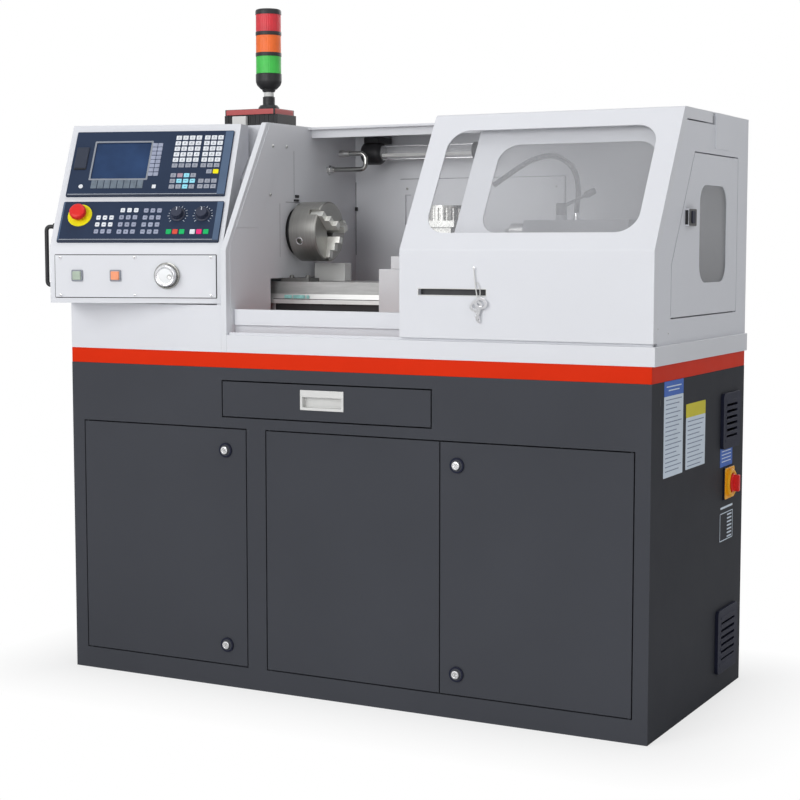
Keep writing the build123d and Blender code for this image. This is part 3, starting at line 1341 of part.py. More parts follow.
# Coolant tank with its pump, on the floor plate of the left compartment
tank_x = (-690, -330)
tank_y = (-180, 280)
tank_top = 300
pump_spot = (-430, 180)
pump_flange = (12, 62)
pump_motor = (130, 48)
with BuildPart() as coolant_tank:
    block(tank_x, tank_y, (base_height, tank_top))
    tank_hollow_x = (tank_x[0] + sheet, tank_x[1] - sheet)
    tank_hollow_y = (tank_y[0] + sheet, tank_y[1] - sheet)
    block(tank_hollow_x, tank_hollow_y, (base_height + sheet, tank_top - sheet), Mode.SUBTRACT)
    round_bar((*pump_spot, tank_top), *pump_flange)
    round_bar((*pump_spot, tank_top + pump_flange[0]), *pump_motor)
coolant_tank.part.label = "coolant_tank"
export_step(coolant_tank.part, "parts/coolant_tank.step")
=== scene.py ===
"""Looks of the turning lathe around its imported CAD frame. Metres in Blender, millimetres in the tables below."""

import json
from math import atan2, cos, pi, radians, sin, tan

import bmesh
import bpy
from mathutils import Matrix, Vector

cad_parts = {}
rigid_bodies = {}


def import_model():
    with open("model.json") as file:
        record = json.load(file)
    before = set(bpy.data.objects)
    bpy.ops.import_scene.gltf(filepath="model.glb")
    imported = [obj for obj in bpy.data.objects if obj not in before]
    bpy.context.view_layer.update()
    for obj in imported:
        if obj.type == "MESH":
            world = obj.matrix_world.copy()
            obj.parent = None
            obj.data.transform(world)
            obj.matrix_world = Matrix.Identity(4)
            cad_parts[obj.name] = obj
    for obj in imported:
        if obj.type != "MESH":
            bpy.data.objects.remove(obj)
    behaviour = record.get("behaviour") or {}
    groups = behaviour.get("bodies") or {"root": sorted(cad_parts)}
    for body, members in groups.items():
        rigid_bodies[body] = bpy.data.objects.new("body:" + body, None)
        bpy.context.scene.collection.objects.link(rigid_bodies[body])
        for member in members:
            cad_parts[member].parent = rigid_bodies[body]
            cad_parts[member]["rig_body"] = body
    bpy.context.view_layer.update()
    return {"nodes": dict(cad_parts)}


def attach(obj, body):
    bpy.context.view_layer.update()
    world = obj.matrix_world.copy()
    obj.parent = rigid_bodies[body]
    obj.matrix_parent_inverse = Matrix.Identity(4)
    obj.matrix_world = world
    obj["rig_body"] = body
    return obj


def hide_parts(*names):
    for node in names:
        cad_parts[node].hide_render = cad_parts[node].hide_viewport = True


MM = 0.001
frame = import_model()
scene = bpy.context.scene
body_of_node = {n: o["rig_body"] for n, o in frame["nodes"].items()}
BOX = body_of_node["control_box"]


# Materials -------------------------------------------------------------------

def surface(name, colour, rough=0.5, metal=0.0, drift=0.05, patch=6.0, grain=0.0, grain_size=900.0,
            stretch=(1, 1, 1), coat=0.0, alpha=1.0, swing=0.05, round_axis=None, shine=0.5):
    """A procedural finish: colour that drifts softly over the surface, roughness that swings and fine grain."""
    mat = bpy.data.materials.new(name)
    mat.use_nodes = True
    nodes, links = mat.node_tree.nodes, mat.node_tree.links
    shader = nodes["Principled BSDF"]
    shader.inputs["Metallic"].default_value = metal
    shader.inputs["Specular IOR Level"].default_value = shine
    shader.inputs["Coat Weight"].default_value = coat
    shader.inputs["Coat Roughness"].default_value = 0.15
    shader.inputs["Alpha"].default_value = alpha
    where = nodes.new("ShaderNodeTexCoord").outputs["Object"]
    if round_axis is not None:
        parts = nodes.new("ShaderNodeSeparateXYZ")
        links.new(where, parts.inputs[0])
        lift = nodes.new("ShaderNodeMath")
        lift.operation = "SUBTRACT"
        lift.inputs[1].default_value = round_axis
        links.new(parts.outputs["Z"], lift.inputs[0])
        flat = nodes.new("ShaderNodeCombineXYZ")
        links.new(parts.outputs["Y"], flat.inputs["Y"])
        links.new(lift.outputs[0], flat.inputs["Z"])
        size = nodes.new("ShaderNodeVectorMath")
        size.operation = "LENGTH"
        links.new(flat.outputs[0], size.inputs[0])
        rings = nodes.new("ShaderNodeCombineXYZ")
        links.new(parts.outputs["X"], rings.inputs["X"])
        links.new(size.outputs["Value"], rings.inputs["Y"])
        where = rings.outputs[0]
    place = nodes.new("ShaderNodeMapping")
    place.inputs["Scale"].default_value = stretch
    links.new(where, place.inputs["Vector"])

    def noise(scale, detail):
        node = nodes.new("ShaderNodeTexNoise")
        node.inputs["Scale"].default_value = scale
        node.inputs["Detail"].default_value = detail
        links.new(place.outputs["Vector"], node.inputs["Vector"])
        return node.outputs["Fac"]

    ramp = nodes.new("ShaderNodeValToRGB")
    ramp.color_ramp.elements[0].position = 0.3
    ramp.color_ramp.elements[1].position = 0.7
    ramp.color_ramp.elements[0].color = tuple(c * (1 - drift) for c in colour) + (1,)
    ramp.color_ramp.elements[1].color = tuple(min(1.0, c * (1 + drift)) for c in colour) + (1,)
    links.new(noise(patch, 4), ramp.inputs["Fac"])
    links.new(ramp.outputs["Color"], shader.inputs["Base Color"])
    spread = nodes.new("ShaderNodeMapRange")
    spread.inputs["To Min"].default_value = max(0.02, rough - swing)
    spread.inputs["To Max"].default_value = min(1.0, rough + swing)
    links.new(noise(patch * 7, 3), spread.inputs["Value"])
    links.new(spread.outputs["Result"], shader.inputs["Roughness"])
    if grain:
        bump = nodes.new("ShaderNodeBump")
        bump.inputs["Strength"].default_value = grain
        bump.inputs["Distance"].default_value = 0.0004
        links.new(noise(grain_size, 2), bump.inputs["Height"])
        links.new(bump.outputs["Normal"], shader.inputs["Normal"])
    return mat


WHITE = surface("white_coat", (0.705, 0.714, 0.748), 0.45, drift=0.02, patch=2, grain=0.10, shine=0.3)
INNER = surface("inner_coat", (0.70, 0.71, 0.74), 0.5, drift=0.03, patch=2, grain=0.10, shine=0.25)
# Painted light: a slightly lighter copy of the white paint for the right wall and side door, lifted so the side faces
# look as lit as the front.
WHITE_SIDE_LIT = surface("side_coat", (0.72, 0.73, 0.77), 0.45, drift=0.02, patch=2, grain=0.10, shine=0.2)
CHARCOAL = surface("charcoal_coat", (0.060, 0.063, 0.073), 0.5, drift=0.06, patch=2, grain=0.25, grain_size=700,
                   shine=0.03)
# Painted shade: a darker copy of the charcoal paint for the cabinet's sides, darker because the sides face away from
# the light.
CHARCOAL_SIDE_SHADED = surface("charcoal_side_painted_shade", (0.040, 0.042, 0.049), 0.5, drift=0.06, patch=2, grain=0.25,
                        grain_size=700, shine=0.03)
RED = surface("rim_coat", (0.68, 0.030, 0.006), 0.4, drift=0.04, patch=3, shine=0.04)
PANEL = surface("panel_overlay", (0.030, 0.044, 0.080), 0.45, drift=0.10, patch=5, grain=0.2, shine=0.05)
PANEL_LIGHT = surface("panel_strip", (0.085, 0.13, 0.21), 0.4, drift=0.10, patch=8, shine=0.2)
PANEL_DARK = surface("panel_flap", (0.040, 0.048, 0.070), 0.5, drift=0.06, patch=9, grain=0.2, shine=0.15)
SCREEN = surface("screen_glass", (0.022, 0.050, 0.125), 0.25, drift=0.30, patch=9, shine=0.15)
BEZEL = surface("screen_bezel", (0.26, 0.28, 0.32), 0.35, drift=0.05, shine=0.3)
KEY_WHITE = surface("key_white", (0.76, 0.79, 0.83), 0.5, drift=0.05, patch=60, shine=0.2)
KEY_GREY = surface("key_grey", (0.33, 0.35, 0.41), 0.5, drift=0.1, patch=60, shine=0.2)
KEY_SOFT = surface("key_soft", (0.15, 0.185, 0.225), 0.5, drift=0.2, patch=60, shine=0.2)
KEY_LILAC = surface("key_lilac", (0.33, 0.36, 0.47), 0.5, drift=0.12, patch=60, shine=0.2)
KEY_ROSE = surface("key_rose", (0.42, 0.30, 0.36), 0.5, drift=0.08, patch=60, shine=0.2)
KEY_CYAN = surface("key_cyan", (0.30, 0.72, 0.86), 0.5, drift=0.1, patch=60, shine=0.2)
KEY_YELLOW = surface("key_yellow", (0.92, 0.80, 0.01), 0.5, drift=0.05, patch=60, shine=0.15)
KEY_GREEN = surface("key_green", (0.015, 0.45, 0.13), 0.5, drift=0.08, patch=60, shine=0.15)
KEY_RED = surface("key_red", (0.72, 0.09, 0.06), 0.5, drift=0.06, patch=60, shine=0.15)
KEY_PINK = surface("key_pink", (0.84, 0.04, 0.20), 0.5, drift=0.06, patch=60, shine=0.15)
LEGEND = surface("key_legend", (0.10, 0.12, 0.16), 0.6, drift=0.05, patch=60, shine=0.2)
PALE_LEGEND = surface("pale_legend", (0.66, 0.70, 0.76), 0.6, drift=0.05, patch=60, shine=0.2)
BLACK = surface("black_moulding", (0.022, 0.022, 0.024), 0.42, drift=0.15, patch=20, grain=0.25, shine=0.3)
BLACK_BLUE = surface("blue_black_moulding", (0.017, 0.019, 0.036), 0.4, drift=0.15, patch=20, grain=0.25, shine=0.05)
# Painted shade: a darker copy of the white paint for the shaded fold at the front edge of the right wall.
FOLD_SHADE = surface("fold_strip", (0.56, 0.57, 0.60), 0.5, drift=0.03, patch=6, shine=0.2)
PRINT = surface("plate_print", (0.22, 0.27, 0.38), 0.6, drift=0.1, patch=60, shine=0.1)
DIAL_BLUE = surface("dial_moulding", (0.030, 0.036, 0.062), 0.42, drift=0.12, patch=20, grain=0.2, shine=0.3)
LIGHT = surface("light_moulding", (0.68, 0.68, 0.665), 0.4, drift=0.04, patch=15, shine=0.3)
PALE = surface("plate_pale", (0.66, 0.74, 0.83), 0.5, drift=0.03, patch=15, shine=0.2)
PLATE_BLUE = surface("plate_blue", (0.05, 0.14, 0.50), 0.5, drift=0.06, patch=15, shine=0.2)
PLATE_YELLOW = surface("plate_yellow", (0.66, 0.58, 0.03), 0.5, drift=0.06, patch=15, shine=0.2)
LENS_RED = surface("lens_red", (0.66, 0.03, 0.045), 0.3, drift=0.10, patch=30, shine=0.35)
LENS_AMBER = surface("lens_amber", (0.90, 0.16, 0.02), 0.3, drift=0.10, patch=30, shine=0.35)
LENS_GREEN = surface("lens_green", (0.05, 0.52, 0.07), 0.3, drift=0.10, patch=30, shine=0.35)
STOP_RED = surface("stop_red", (0.72, 0.02, 0.018), 0.35, drift=0.05, patch=20, shine=0.3)
STOP_YELLOW = surface("stop_yellow", (0.88, 0.80, 0.01), 0.45, drift=0.05, patch=20, shine=0.2)
LID_RED = surface("lid_red", (0.46, 0.09, 0.09), 0.4, drift=0.06, patch=20, shine=0.3)
BUTTON_GREEN = surface("button_green", (0.42, 0.50, 0.41), 0.35, drift=0.05, patch=40, shine=0.3)
BUTTON_ORANGE = surface("button_orange", (0.90, 0.34, 0.18), 0.35, drift=0.05, patch=40, shine=0.3)
SWITCH_YELLOW = surface("switch_yellow", (0.90, 0.42, 0.01), 0.4, drift=0.05, patch=20, shine=0.2)
CHROME = surface("bright_chrome", (0.80, 0.80, 0.82), 0.16, 1.0, drift=0.03, swing=0.03, patch=20)
SATIN = surface("satin_steel", (0.62, 0.62, 0.61), 0.30, 1.0, drift=0.06, patch=10, stretch=(1, 30, 30))
TURNED = surface("turned_steel", (0.33, 0.327, 0.31), 0.36, 0.85, drift=0.10, patch=260, grain=0.2,
                 grain_size=900, round_axis=1.079)
GROUND = surface("ground_steel", (0.66, 0.66, 0.65), 0.34, 0.8, drift=0.08, patch=12, stretch=(1, 60, 60))
JAW = surface("jaw_steel", (0.66, 0.66, 0.63), 0.36, 0.7, drift=0.06, patch=60)
FLUTED = surface("fluted_steel", (0.62, 0.62, 0.60), 0.28, 0.8, drift=0.06, patch=30)
CAST = surface("machined_cast", (0.40, 0.40, 0.395), 0.42, 0.6, drift=0.10, patch=20, grain=0.2, stretch=(1, 8, 8))
CAST_PAINT = surface("cast_paint", (0.40, 0.41, 0.43), 0.5, drift=0.05, patch=8, grain=0.5, grain_size=300, shine=0.3)
WHEEL_FACE = surface("wheel_face", (0.74, 0.75, 0.76), 0.4, 0.2, drift=0.04, patch=20, shine=0.3)
DARK_STEEL = surface("dark_steel", (0.05, 0.05, 0.052), 0.42, 0.6, drift=0.1, patch=30, shine=0.3)
TAG = surface("label_cyan", (0.28, 0.58, 0.55), 0.4, drift=0.2, patch=90, shine=0.3)
# Painted shadow: dark colour for the thin lines in the joints' gaps.
JOINT_SHADOW = surface("joint_shadow", (0.20, 0.20, 0.22), 0.6, drift=0.1, patch=20, shine=0.1)
PIPE = surface("pipe_chrome", (0.40, 0.40, 0.38), 0.16, 1.0, drift=0.05, patch=30)
CLAMP = surface("clamp_steel", (0.13, 0.13, 0.125), 0.4, 0.6, drift=0.1, patch=30)
SADDLE = surface("saddle_coat", (0.66, 0.665, 0.68), 0.45, drift=0.04, patch=8, grain=0.1, shine=0.3)
GLASS_FRONT = surface("door_glazing", (0.66, 0.67, 0.70), 0.08, drift=0.02, patch=3, alpha=0.10, shine=0.3)
GLASS_FIXED = surface("panel_glazing", (0.66, 0.67, 0.70), 0.10, drift=0.02, patch=3, alpha=0.22, shine=0.3)
GLASS_SIDE = surface("side_glazing", (0.36, 0.37, 0.39), 0.10, drift=0.02, patch=3, alpha=0.35, shine=0.3)
TUBE_CLEAR = surface("lamp_glazing", (0.75, 0.76, 0.78), 0.06, drift=0.02, patch=9, alpha=0.30, shine=0.5)
LAMP_CORE = surface("lamp_core", (0.76, 0.75, 0.72), 0.4, drift=0.15, patch=40, stretch=(1, 4, 4), shine=0.4)
TANK = surface("tank_coat", (0.24, 0.26, 0.28), 0.4, drift=0.05, patch=5, grain=0.1)
DEVICE = surface("device_case", (0.40, 0.41, 0.41), 0.5, drift=0.08, patch=12)


# Geometry helpers --------------------------------------------------------------

def facing(origin, right_way, up_way):
    """Local frame of a face: x to its right, y up it and z out of it."""
    x, y = Vector(right_way).normalized(), Vector(up_way).normalized()
    matrix = Matrix((x, y, x.cross(y))).transposed().to_4x4()
    matrix.translation = Vector(origin)
    return matrix


SLOPE = atan2(182, 305)
SWING = Matrix.Translation((-323, -306, 0)) @ Matrix.Rotation(radians(18), 4, "Z") @ Matrix.Translation((323, 306, 0))
FRONT = facing((0, -325, 0), (1, 0, 0), (0, 0, 1))
BOX_FRONT = SWING @ facing((0, -317, 0), (1, 0, 0), (0, 0, 1))
DESK = SWING @ facing((0, -314, 1043), (1, 0, 0), (0, sin(SLOPE), cos(SLOPE)))
RIGHT = facing((750, 0, 0), (0, 1, 0), (0, 0, 1))
LEFT = facing((-750, 0, 0), (0, -1, 0), (0, 0, 1))
WALL = facing((-295, 0, 0), (0, 1, 0), (0, 0, 1))
BACK = facing((0, 325, 0), (-1, 0, 0), (0, 0, 1))
INNER_BACK = facing((0, 291, 0), (1, 0, 0), (0, 0, 1))
TOP = Matrix.Identity(4)


def at(x, y, z, way="Z"):
    """A frame at a point with its z along an axis of the row frame."""
    turns = {"Z": Matrix.Identity(4), "X": Matrix.Rotation(pi / 2, 4, "Y"), "Y": Matrix.Rotation(-pi / 2, 4, "X"),
             "-Y": Matrix.Rotation(pi / 2, 4, "X"), "-X": Matrix.Rotation(-pi / 2, 4, "Y")}
    return Matrix.Translation((x, y, z)) @ turns[way]


def rounded(cx, cy, w, h, r, steps=5):
    """Outline of a rounded rectangle, anticlockwise."""
    r = max(0.01, min(r, w / 2 - 0.01, h / 2 - 0.01))
    points = []
    for quarter, (sx, sy) in enumerate(((1, 1), (-1, 1), (-1, -1), (1, -1))):
        for k in range(steps + 1):
            a = (quarter + k / steps) * pi / 2
            points.append((cx + sx * (w / 2 - r) + r * cos(a), cy + sy * (h / 2 - r) + r * sin(a)))
    return points


def circle(cx, cy, r, n=32):
    return [(cx + r * cos(2 * pi * k / n), cy + r * sin(2 * pi * k / n)) for k in range(n)]


def inset(points, d):
    """Outline moved inwards by d."""
    moved = []
    for k, p in enumerate(points):
        a, b = Vector(points[k - 1]), Vector(points[(k + 1) % len(points)])
        p = Vector(p)
        u, v = (p - a).normalized(), (b - p).normalized()
        nu, nv = Vector((-u.y, u.x)), Vector((-v.y, v.x))
        m = nu + nv
        moved.append(tuple(p + m * (d / max(0.3, m.dot(nu)))) if m.length > 1e-6 else tuple(p))
    return moved


def skin(bm, rings, cap=(True, True)):
    """Faces between successive rings of points, with caps."""
    layers = [[bm.verts.new(p) for p in ring] for ring in rings]
    for low, high in zip(layers, layers[1:]):
        for k in range(len(low)):
            j = (k + 1) % len(low)
            bm.faces.new((low[k], low[j], high[j], high[k]))
    if cap[0]:
        bm.faces.new(layers[0][::-1])
    if cap[1]:
        bm.faces.new(layers[-1])
    return layers


def prism(bm, outline, z0, z1, edge=0.0, steps=2):
    """A plate from its outline, with a rounded front edge."""
    rings = [[(x, y, z0) for x, y in outline]]
    if edge:
        for k in range(steps + 1):
            a = k / steps * pi / 2
            rings.append([(x, y, z1 - edge + edge * sin(a)) for x, y in inset(outline, edge * (1 - cos(a)))])
    else:
        rings.append([(x, y, z1) for x, y in outline])
    skin(bm, rings)


def collar(bm, outer, inner, z0, z1, edge=0.0):
    """A plate with a hole: both outlines have the same number of points."""
    rings = [[(x, y, z0) for x, y in inner], [(x, y, z0) for x, y in outer]]
    if edge:
        rings += [[(x, y, z1 - edge) for x, y in outer], [(x, y, z1) for x, y in inset(outer, edge)],
                  [(x, y, z1) for x, y in inset(inner, -edge)], [(x, y, z1 - edge) for x, y in inner]]
    else:
        rings += [[(x, y, z1) for x, y in outer], [(x, y, z1) for x, y in inner]]
    layers = skin(bm, rings, (False, False))
    low, high = layers[-1], layers[0]
    for k in range(len(low)):
        j = (k + 1) % len(low)
        bm.faces.new((low[k], low[j], high[j], high[k]))


def turned(bm, profile, n=48, flutes=0, depth=0.0):
    """A turned shape about z from (radius, height) pairs, with flutes if asked."""
    rings = []
    for r, z in profile:
        ring = []
        for k in range(n):
            a = 2 * pi * k / n
            cut = depth * (0.5 + 0.5 * cos(flutes * a)) if flutes and r > depth * 2 else 0.0
            ring.append(((max(r, 0.02) - cut) * cos(a), (max(r, 0.02) - cut) * sin(a), z))
        rings.append(ring)
    skin(bm, rings)


def hose(bm, path, radii, n=12):
    """A tube along a path of points, with a radius at each point."""
    path = [Vector(p) for p in path]
    normal = None
    rings = []
    for k, p in enumerate(path):
        way = (path[min(k + 1, len(path) - 1)] - path[max(k - 1, 0)]).normalized()
        if normal is None:
            normal = way.orthogonal().normalized()
        normal = (normal - way * normal.dot(way)).normalized()
        across = way.cross(normal)
        rings.append([p + (normal * cos(2 * pi * j / n) + across * sin(2 * pi * j / n)) * radii[k] for j in range(n)])
    skin(bm, rings)


def curve_through(points, step=2.0):
    """Evenly spaced points on a smooth line through the given ones."""
    pts = [Vector(p) for p in points]
    dense = []
    for k in range(len(pts) - 1):
        p0, p1, p2, p3 = pts[max(k - 1, 0)], pts[k], pts[k + 1], pts[min(k + 2, len(pts) - 1)]
        n = max(2, int((p2 - p1).length / step))
        for j in range(n):
            t = j / n
            dense.append(0.5 * (2 * p1 + (p2 - p0) * t + (2 * p0 - 5 * p1 + 4 * p2 - p3) * t * t
                                + (3 * p1 - p0 - 3 * p2 + p3) * t ** 3))
    dense.append(pts[-1])
    return dense


def bent(points, radius, steps=6):
    """A polyline with its corners rounded."""
    pts = [Vector(p) for p in points]
    line = [pts[0]]
    for a, b, c in zip(pts, pts[1:], pts[2:]):
        u, v = (a - b).normalized(), (c - b).normalized()
        half = u.angle(v) / 2
        reach = min(radius / tan(half), (a - b).length * 0.49, (c - b).length * 0.49)
        start, end = b + u * reach, b + v * reach
        for k in range(steps + 1):
            t = k / steps
            line.append((1 - t) ** 2 * start + 2 * t * (1 - t) * b + t * t * end)
    line.append(pts[-1])
    return line


def emit(name, bm, place, body, paint, replaces=(), soft=40, weighted=True):
    """The mesh becomes a piece of the scene that rides on a body."""
    bmesh.ops.transform(bm, matrix=Matrix.Scale(MM, 4) @ place, verts=bm.verts)
    bmesh.ops.recalc_face_normals(bm, faces=bm.faces)
    mesh = bpy.data.meshes.new(name)
    bm.to_mesh(mesh)
    bm.free()
    for polygon in mesh.polygons:
        polygon.use_smooth = True
    mesh.set_sharp_from_angle(angle=radians(soft))
    mesh.materials.append(paint)
    piece = bpy.data.objects.new(name, mesh)
    scene.collection.objects.link(piece)
    if weighted:
        even = piece.modifiers.new("even_normals", "WEIGHTED_NORMAL")
        even.keep_sharp = True
    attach(piece, body)
    if replaces:
        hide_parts(*replaces)
    return piece


def dressed(node, paint, edge=0.8, folds=None, name=None, segments=2, keep=None, least=40):
    """A copy of a CAD node's shape with rounded edges, and larger rounds along its folds."""
    bm = bmesh.new()
    bm.from_mesh(frame["nodes"][node].data)
    bmesh.ops.remove_doubles(bm, verts=bm.verts, dist=2e-5)
    bmesh.ops.dissolve_limit(bm, angle_limit=radians(0.4), verts=bm.verts, edges=bm.edges)
    if folds:
        radius, thick = folds
        for outward in (True, False):
            picked = {}
            for e in bm.edges:
                if len(e.link_faces) != 2:
                    continue
                way = e.verts[1].co - e.verts[0].co
                angle = e.calc_face_angle(0)
                if abs(way.normalized().x) > 0.999 and radians(20) < angle < radians(70) and e.is_convex == outward:
                    picked.setdefault(round(angle, 1), []).append(e)
            for angle, edges in picked.items():
                size = (radius if outward else radius - thick) * tan(angle / 2) * MM
                alive = [e for e in edges if e.is_valid]
                bmesh.ops.bevel(bm, geom=alive, offset=size, segments=4, profile=0.5, affect="EDGES",
                                clamp_overlap=True)
    if edge:
        sharp = [e for e in bm.edges if len(e.link_faces) == 2 and e.calc_face_angle(0) > radians(least)]
        bmesh.ops.bevel(bm, geom=sharp, offset=edge * MM, segments=segments, profile=0.5, affect="EDGES",
                        clamp_overlap=True)
    bmesh.ops.scale(bm, vec=(1 / MM,) * 3, verts=bm.verts)
    return emit(name or node + "_shape", bm, Matrix.Identity(4), body_of_node[node], paint, (node,), soft=50)


def tiles(name, place, body, paint, fields, high, edge=0.4, r=1.0, base=0.0, replaces=()):
    """Many small rounded plates as one piece: each is x, y, width, height."""
    bm = bmesh.new()
    for x, y, w, h in fields:
        prism(bm, rounded(x, y, w, h, r, 3), base, base + high, edge, 1)
    return emit(name, bm, place, body, paint, replaces)


def join(bm, part, matrix=Matrix.Identity(4)):
    """The small mesh is placed and becomes a part of the big one."""
    bmesh.ops.transform(part, matrix=matrix, verts=part.verts)
    mesh = bpy.data.meshes.new("part")
    part.to_mesh(mesh)
    part.free()
    bm.from_mesh(mesh)
    bpy.data.meshes.remove(mesh)


def screws(name, place, body, spots, r=4.0, high=2.0, paint=CHROME, base=0.0):
    """Pan head screws as one piece, and a dark cross on each head as another: the cross's dark colour is painted shade
    for the sunk cross recess.
    """
    bm, cross = bmesh.new(), bmesh.new()
    for x, y in spots:
        local = bmesh.new()
        turned(local, [(r, base), (r, base + high * 0.4), (r * 0.8, base + high * 0.8), (r * 0.45, base + high),
                       (0, base + high)], 20)
        join(bm, local, Matrix.Translation((x, y, 0)))
        for w, h in ((r * 1.1, r * 0.25), (r * 0.25, r * 1.1)):
            prism(cross, rounded(x, y, w, h, 0.1, 1), base + high * 0.6, base + high + 0.05)
    emit(name, bm, place, body, paint)
    # The cross is dark steel: painted shade in the sunk cross.
    emit(name + "_cross_shade", cross, place, body, DARK_STEEL)


def bar(name, outline, x0, x1, body, paint, replaces=(), edge=0.6):
    """A long bar along x from its section in y and z."""
    bm = bmesh.new()
    rings = [[(x0, y, z) for y, z in inset(outline, edge)], [(x0 + edge, y, z) for y, z in outline],
             [(x1 - edge, y, z) for y, z in outline], [(x1, y, z) for y, z in inset(outline, edge)]]
    skin(bm, rings)
    return emit(name, bm, Matrix.Identity(4), body, paint, replaces)


# Sheet metal -------------------------------------------------------------------

# The cabinet wrap takes the darker charcoal copy, painted shade on its sides.
dressed("cabinet_wrap", CHARCOAL_SIDE_SHADED, 0.8)
for node, edge in (("cabinet_front_frame", 0.5), ("cabinet_base_frame", 0.5), ("drawer", 0.5),
                   ("left_cabinet_door", 0.7), ("centre_cabinet_door", 0.7), ("right_cabinet_door", 0.7)):
    dressed(node, CHARCOAL, edge)
dressed("chip_tray", RED, 1.2)
dressed("enclosure_sill", WHITE, 1.2)
dressed("headstock_cover", WHITE, 0.9)
dressed("control_box", WHITE, 0.9)
dressed("enclosure_left_wall", INNER, 0.9, folds=(9, 3))
dressed("enclosure_right_wall", WHITE_SIDE_LIT, 0.7, folds=(9, 3))
dressed("side_door", WHITE_SIDE_LIT, 0.7)
dressed("enclosure_rear_wall", INNER, 0.7)
dressed("fixed_front_panel", WHITE, 0.6, folds=(8, 2))
dressed("sliding_door", WHITE, 0.9, folds=(10, 3))
dressed("sliding_door_window", GLASS_FRONT, 0)
dressed("fixed_window", GLASS_FIXED, 0)
dressed("side_door_window", GLASS_SIDE, 0)
dressed("drawer_pull", LIGHT, 0.5)

# Operator panels -----------------------------------------------------------------

P = 5
UPPER, LOWER = (-526, 229.5, 396, 185), (-525, 65.5, 398, 112)
SCREEN_AT = (-599.5, 237.5, 139, 103)
bm = bmesh.new()
collar(bm, rounded(*UPPER, 3), rounded(*SCREEN_AT, 2), 0, P, 1.0)
emit("operator_panel_upper", bm, DESK, BOX, PANEL, ("operator_panels",))
bm = bmesh.new()
prism(bm, rounded(*LOWER, 3), 0, P, 1.0)
emit("operator_panel_lower", bm, DESK, BOX, PANEL)
bm = bmesh.new()
prism(bm, rounded(-599.5, 237.5, 141, 105, 2), 0, P - 2)
emit("operator_screen", bm, DESK, BOX, SCREEN)
bm = bmesh.new()
collar(bm, rounded(-599.5, 237.5, 148, 112, 3), rounded(*SCREEN_AT, 2), P, P + 1.0, 0.4)
emit("operator_screen_bezel", bm, DESK, BOX, BEZEL)
tiles("operator_panel_strips", DESK, BOX, PANEL_LIGHT,
      [(-338.5, 229.5, 19, 180), (-334.5, 65.5, 14, 108), (-721, 65.5, 3, 108)], 0.4, 0.2, 1.0, P)
# Painted shade and highlight: a dark band along the bottom edge of each panel for its shaded edge, and a pale line just
# above it for the highlight on that edge.
tiles("operator_panel_edge_shade", DESK, BOX, PANEL_DARK,
      [(-526, 139.4, 392, 4), (-525, 12.4, 394, 5)], 0.5, 0.2, 1.0, P)
tiles("operator_panel_edge_highlight", DESK, BOX, PALE_LEGEND,
      [(-526, 142.4, 388, 0.9), (-525, 16.2, 388, 0.9)], 0.3, 0, 0.4, P)
tiles("operator_flap", DESK, BOX, PANEL_DARK, [(-700.5, 245, 31, 60)], 4, 1.4, 2, P)
tiles("operator_flap_lip", DESK, BOX, BLACK, [(-700.5, 213.5, 31, 2.5)], 2.5, 0.6, 1, P)


def field(x0, y0, columns, rows, dx, dy, w, h, skip=()):
    return [(x0 + c * dx, y0 - r * dy, w, h) for c in range(columns) for r in range(rows) if (c, r) not in skip]


LETTERS, DIGITS = (-463, 301.5), (-391.5, 301.5)
CURSOR = (-462, 194)
CURSOR_CYAN = [(2, 0), (1, 1), (2, 1), (3, 1), (2, 2)]
whites = field(*LETTERS, 4, 5, 16.8, 15.9, 13.4, 11.8) + field(*DIGITS, 3, 5, 16.5, 15.9, 13.4, 11.8)
greys = field(LETTERS[0], 222, 4, 1, 16.8, 15.9, 13.4, 11.2) + field(DIGITS[0], 222, 3, 1, 16.5, 15.9, 13.4, 11.2)
greys += [(-375, 204.5, 13.4, 11.2)] + field(*CURSOR, 4, 3, 16.5, 15.9, 13.2, 11.2, CURSOR_CYAN + [(1, 0)])
greys += field(-391.5, 178, 3, 2, 16.2, 15.4, 13.2, 11.2)
cyans = [(CURSOR[0] + c * 16.5, CURSOR[1] - r * 15.9, 13.2, 11.2) for c, r in CURSOR_CYAN]
tiles("keys_white", DESK, BOX, KEY_WHITE, whites + [(-392.2, 36.8, 12.6, 12.4), (-506, 163, 9.5, 10)],
      1.2, 0.4, 1, P)
tiles("keys_grey", DESK, BOX, KEY_GREY, greys, 1.2, 0.4, 1, P)
tiles("keys_rose", DESK, BOX, KEY_ROSE, [(CURSOR[0] + 16.5, CURSOR[1], 13.2, 11.2)], 1.2, 0.4, 1, P)
tiles("keys_cyan", DESK, BOX, KEY_CYAN, cyans, 1.2, 0.4, 1, P)
tiles("keys_yellow", DESK, BOX, KEY_YELLOW, [(-358.5, 204.5, 13.4, 12)], 1.2, 0.4, 1, P)
tiles("keys_soft", DESK, BOX, KEY_SOFT, field(-657.2, 169.7, 8, 1, 16.5, 1, 14.8, 23), 1.2, 0.4, 1, P)
tiles("keys_side", DESK, BOX, KEY_LILAC, field(-520, 281.5, 2, 8, 13.2, 11.9, 11.8, 10.2), 1.2, 0.4, 1, P)
modes = field(-629.5, 76, 3, 2, 16.2, 19.1, 10.5, 11.5) + field(-572.3, 96.4, 3, 1, 16.7, 19.8, 10.8, 11.5)
moves = (field(-629.5, 37.8, 3, 1, 16.2, 19.1, 10.5, 11.5) + field(-572.3, 76.6, 3, 3, 16.7, 19.8, 11.2, 11.5)
         + field(-514, 95.4, 3, 4, 16.4, 19.5, 11.2, 11.5))
tiles("keys_mode", DESK, BOX, KEY_WHITE, modes, 1.2, 0.4, 2, P)
tiles("keys_move", DESK, BOX, KEY_LILAC, moves, 1.2, 0.4, 2, P)
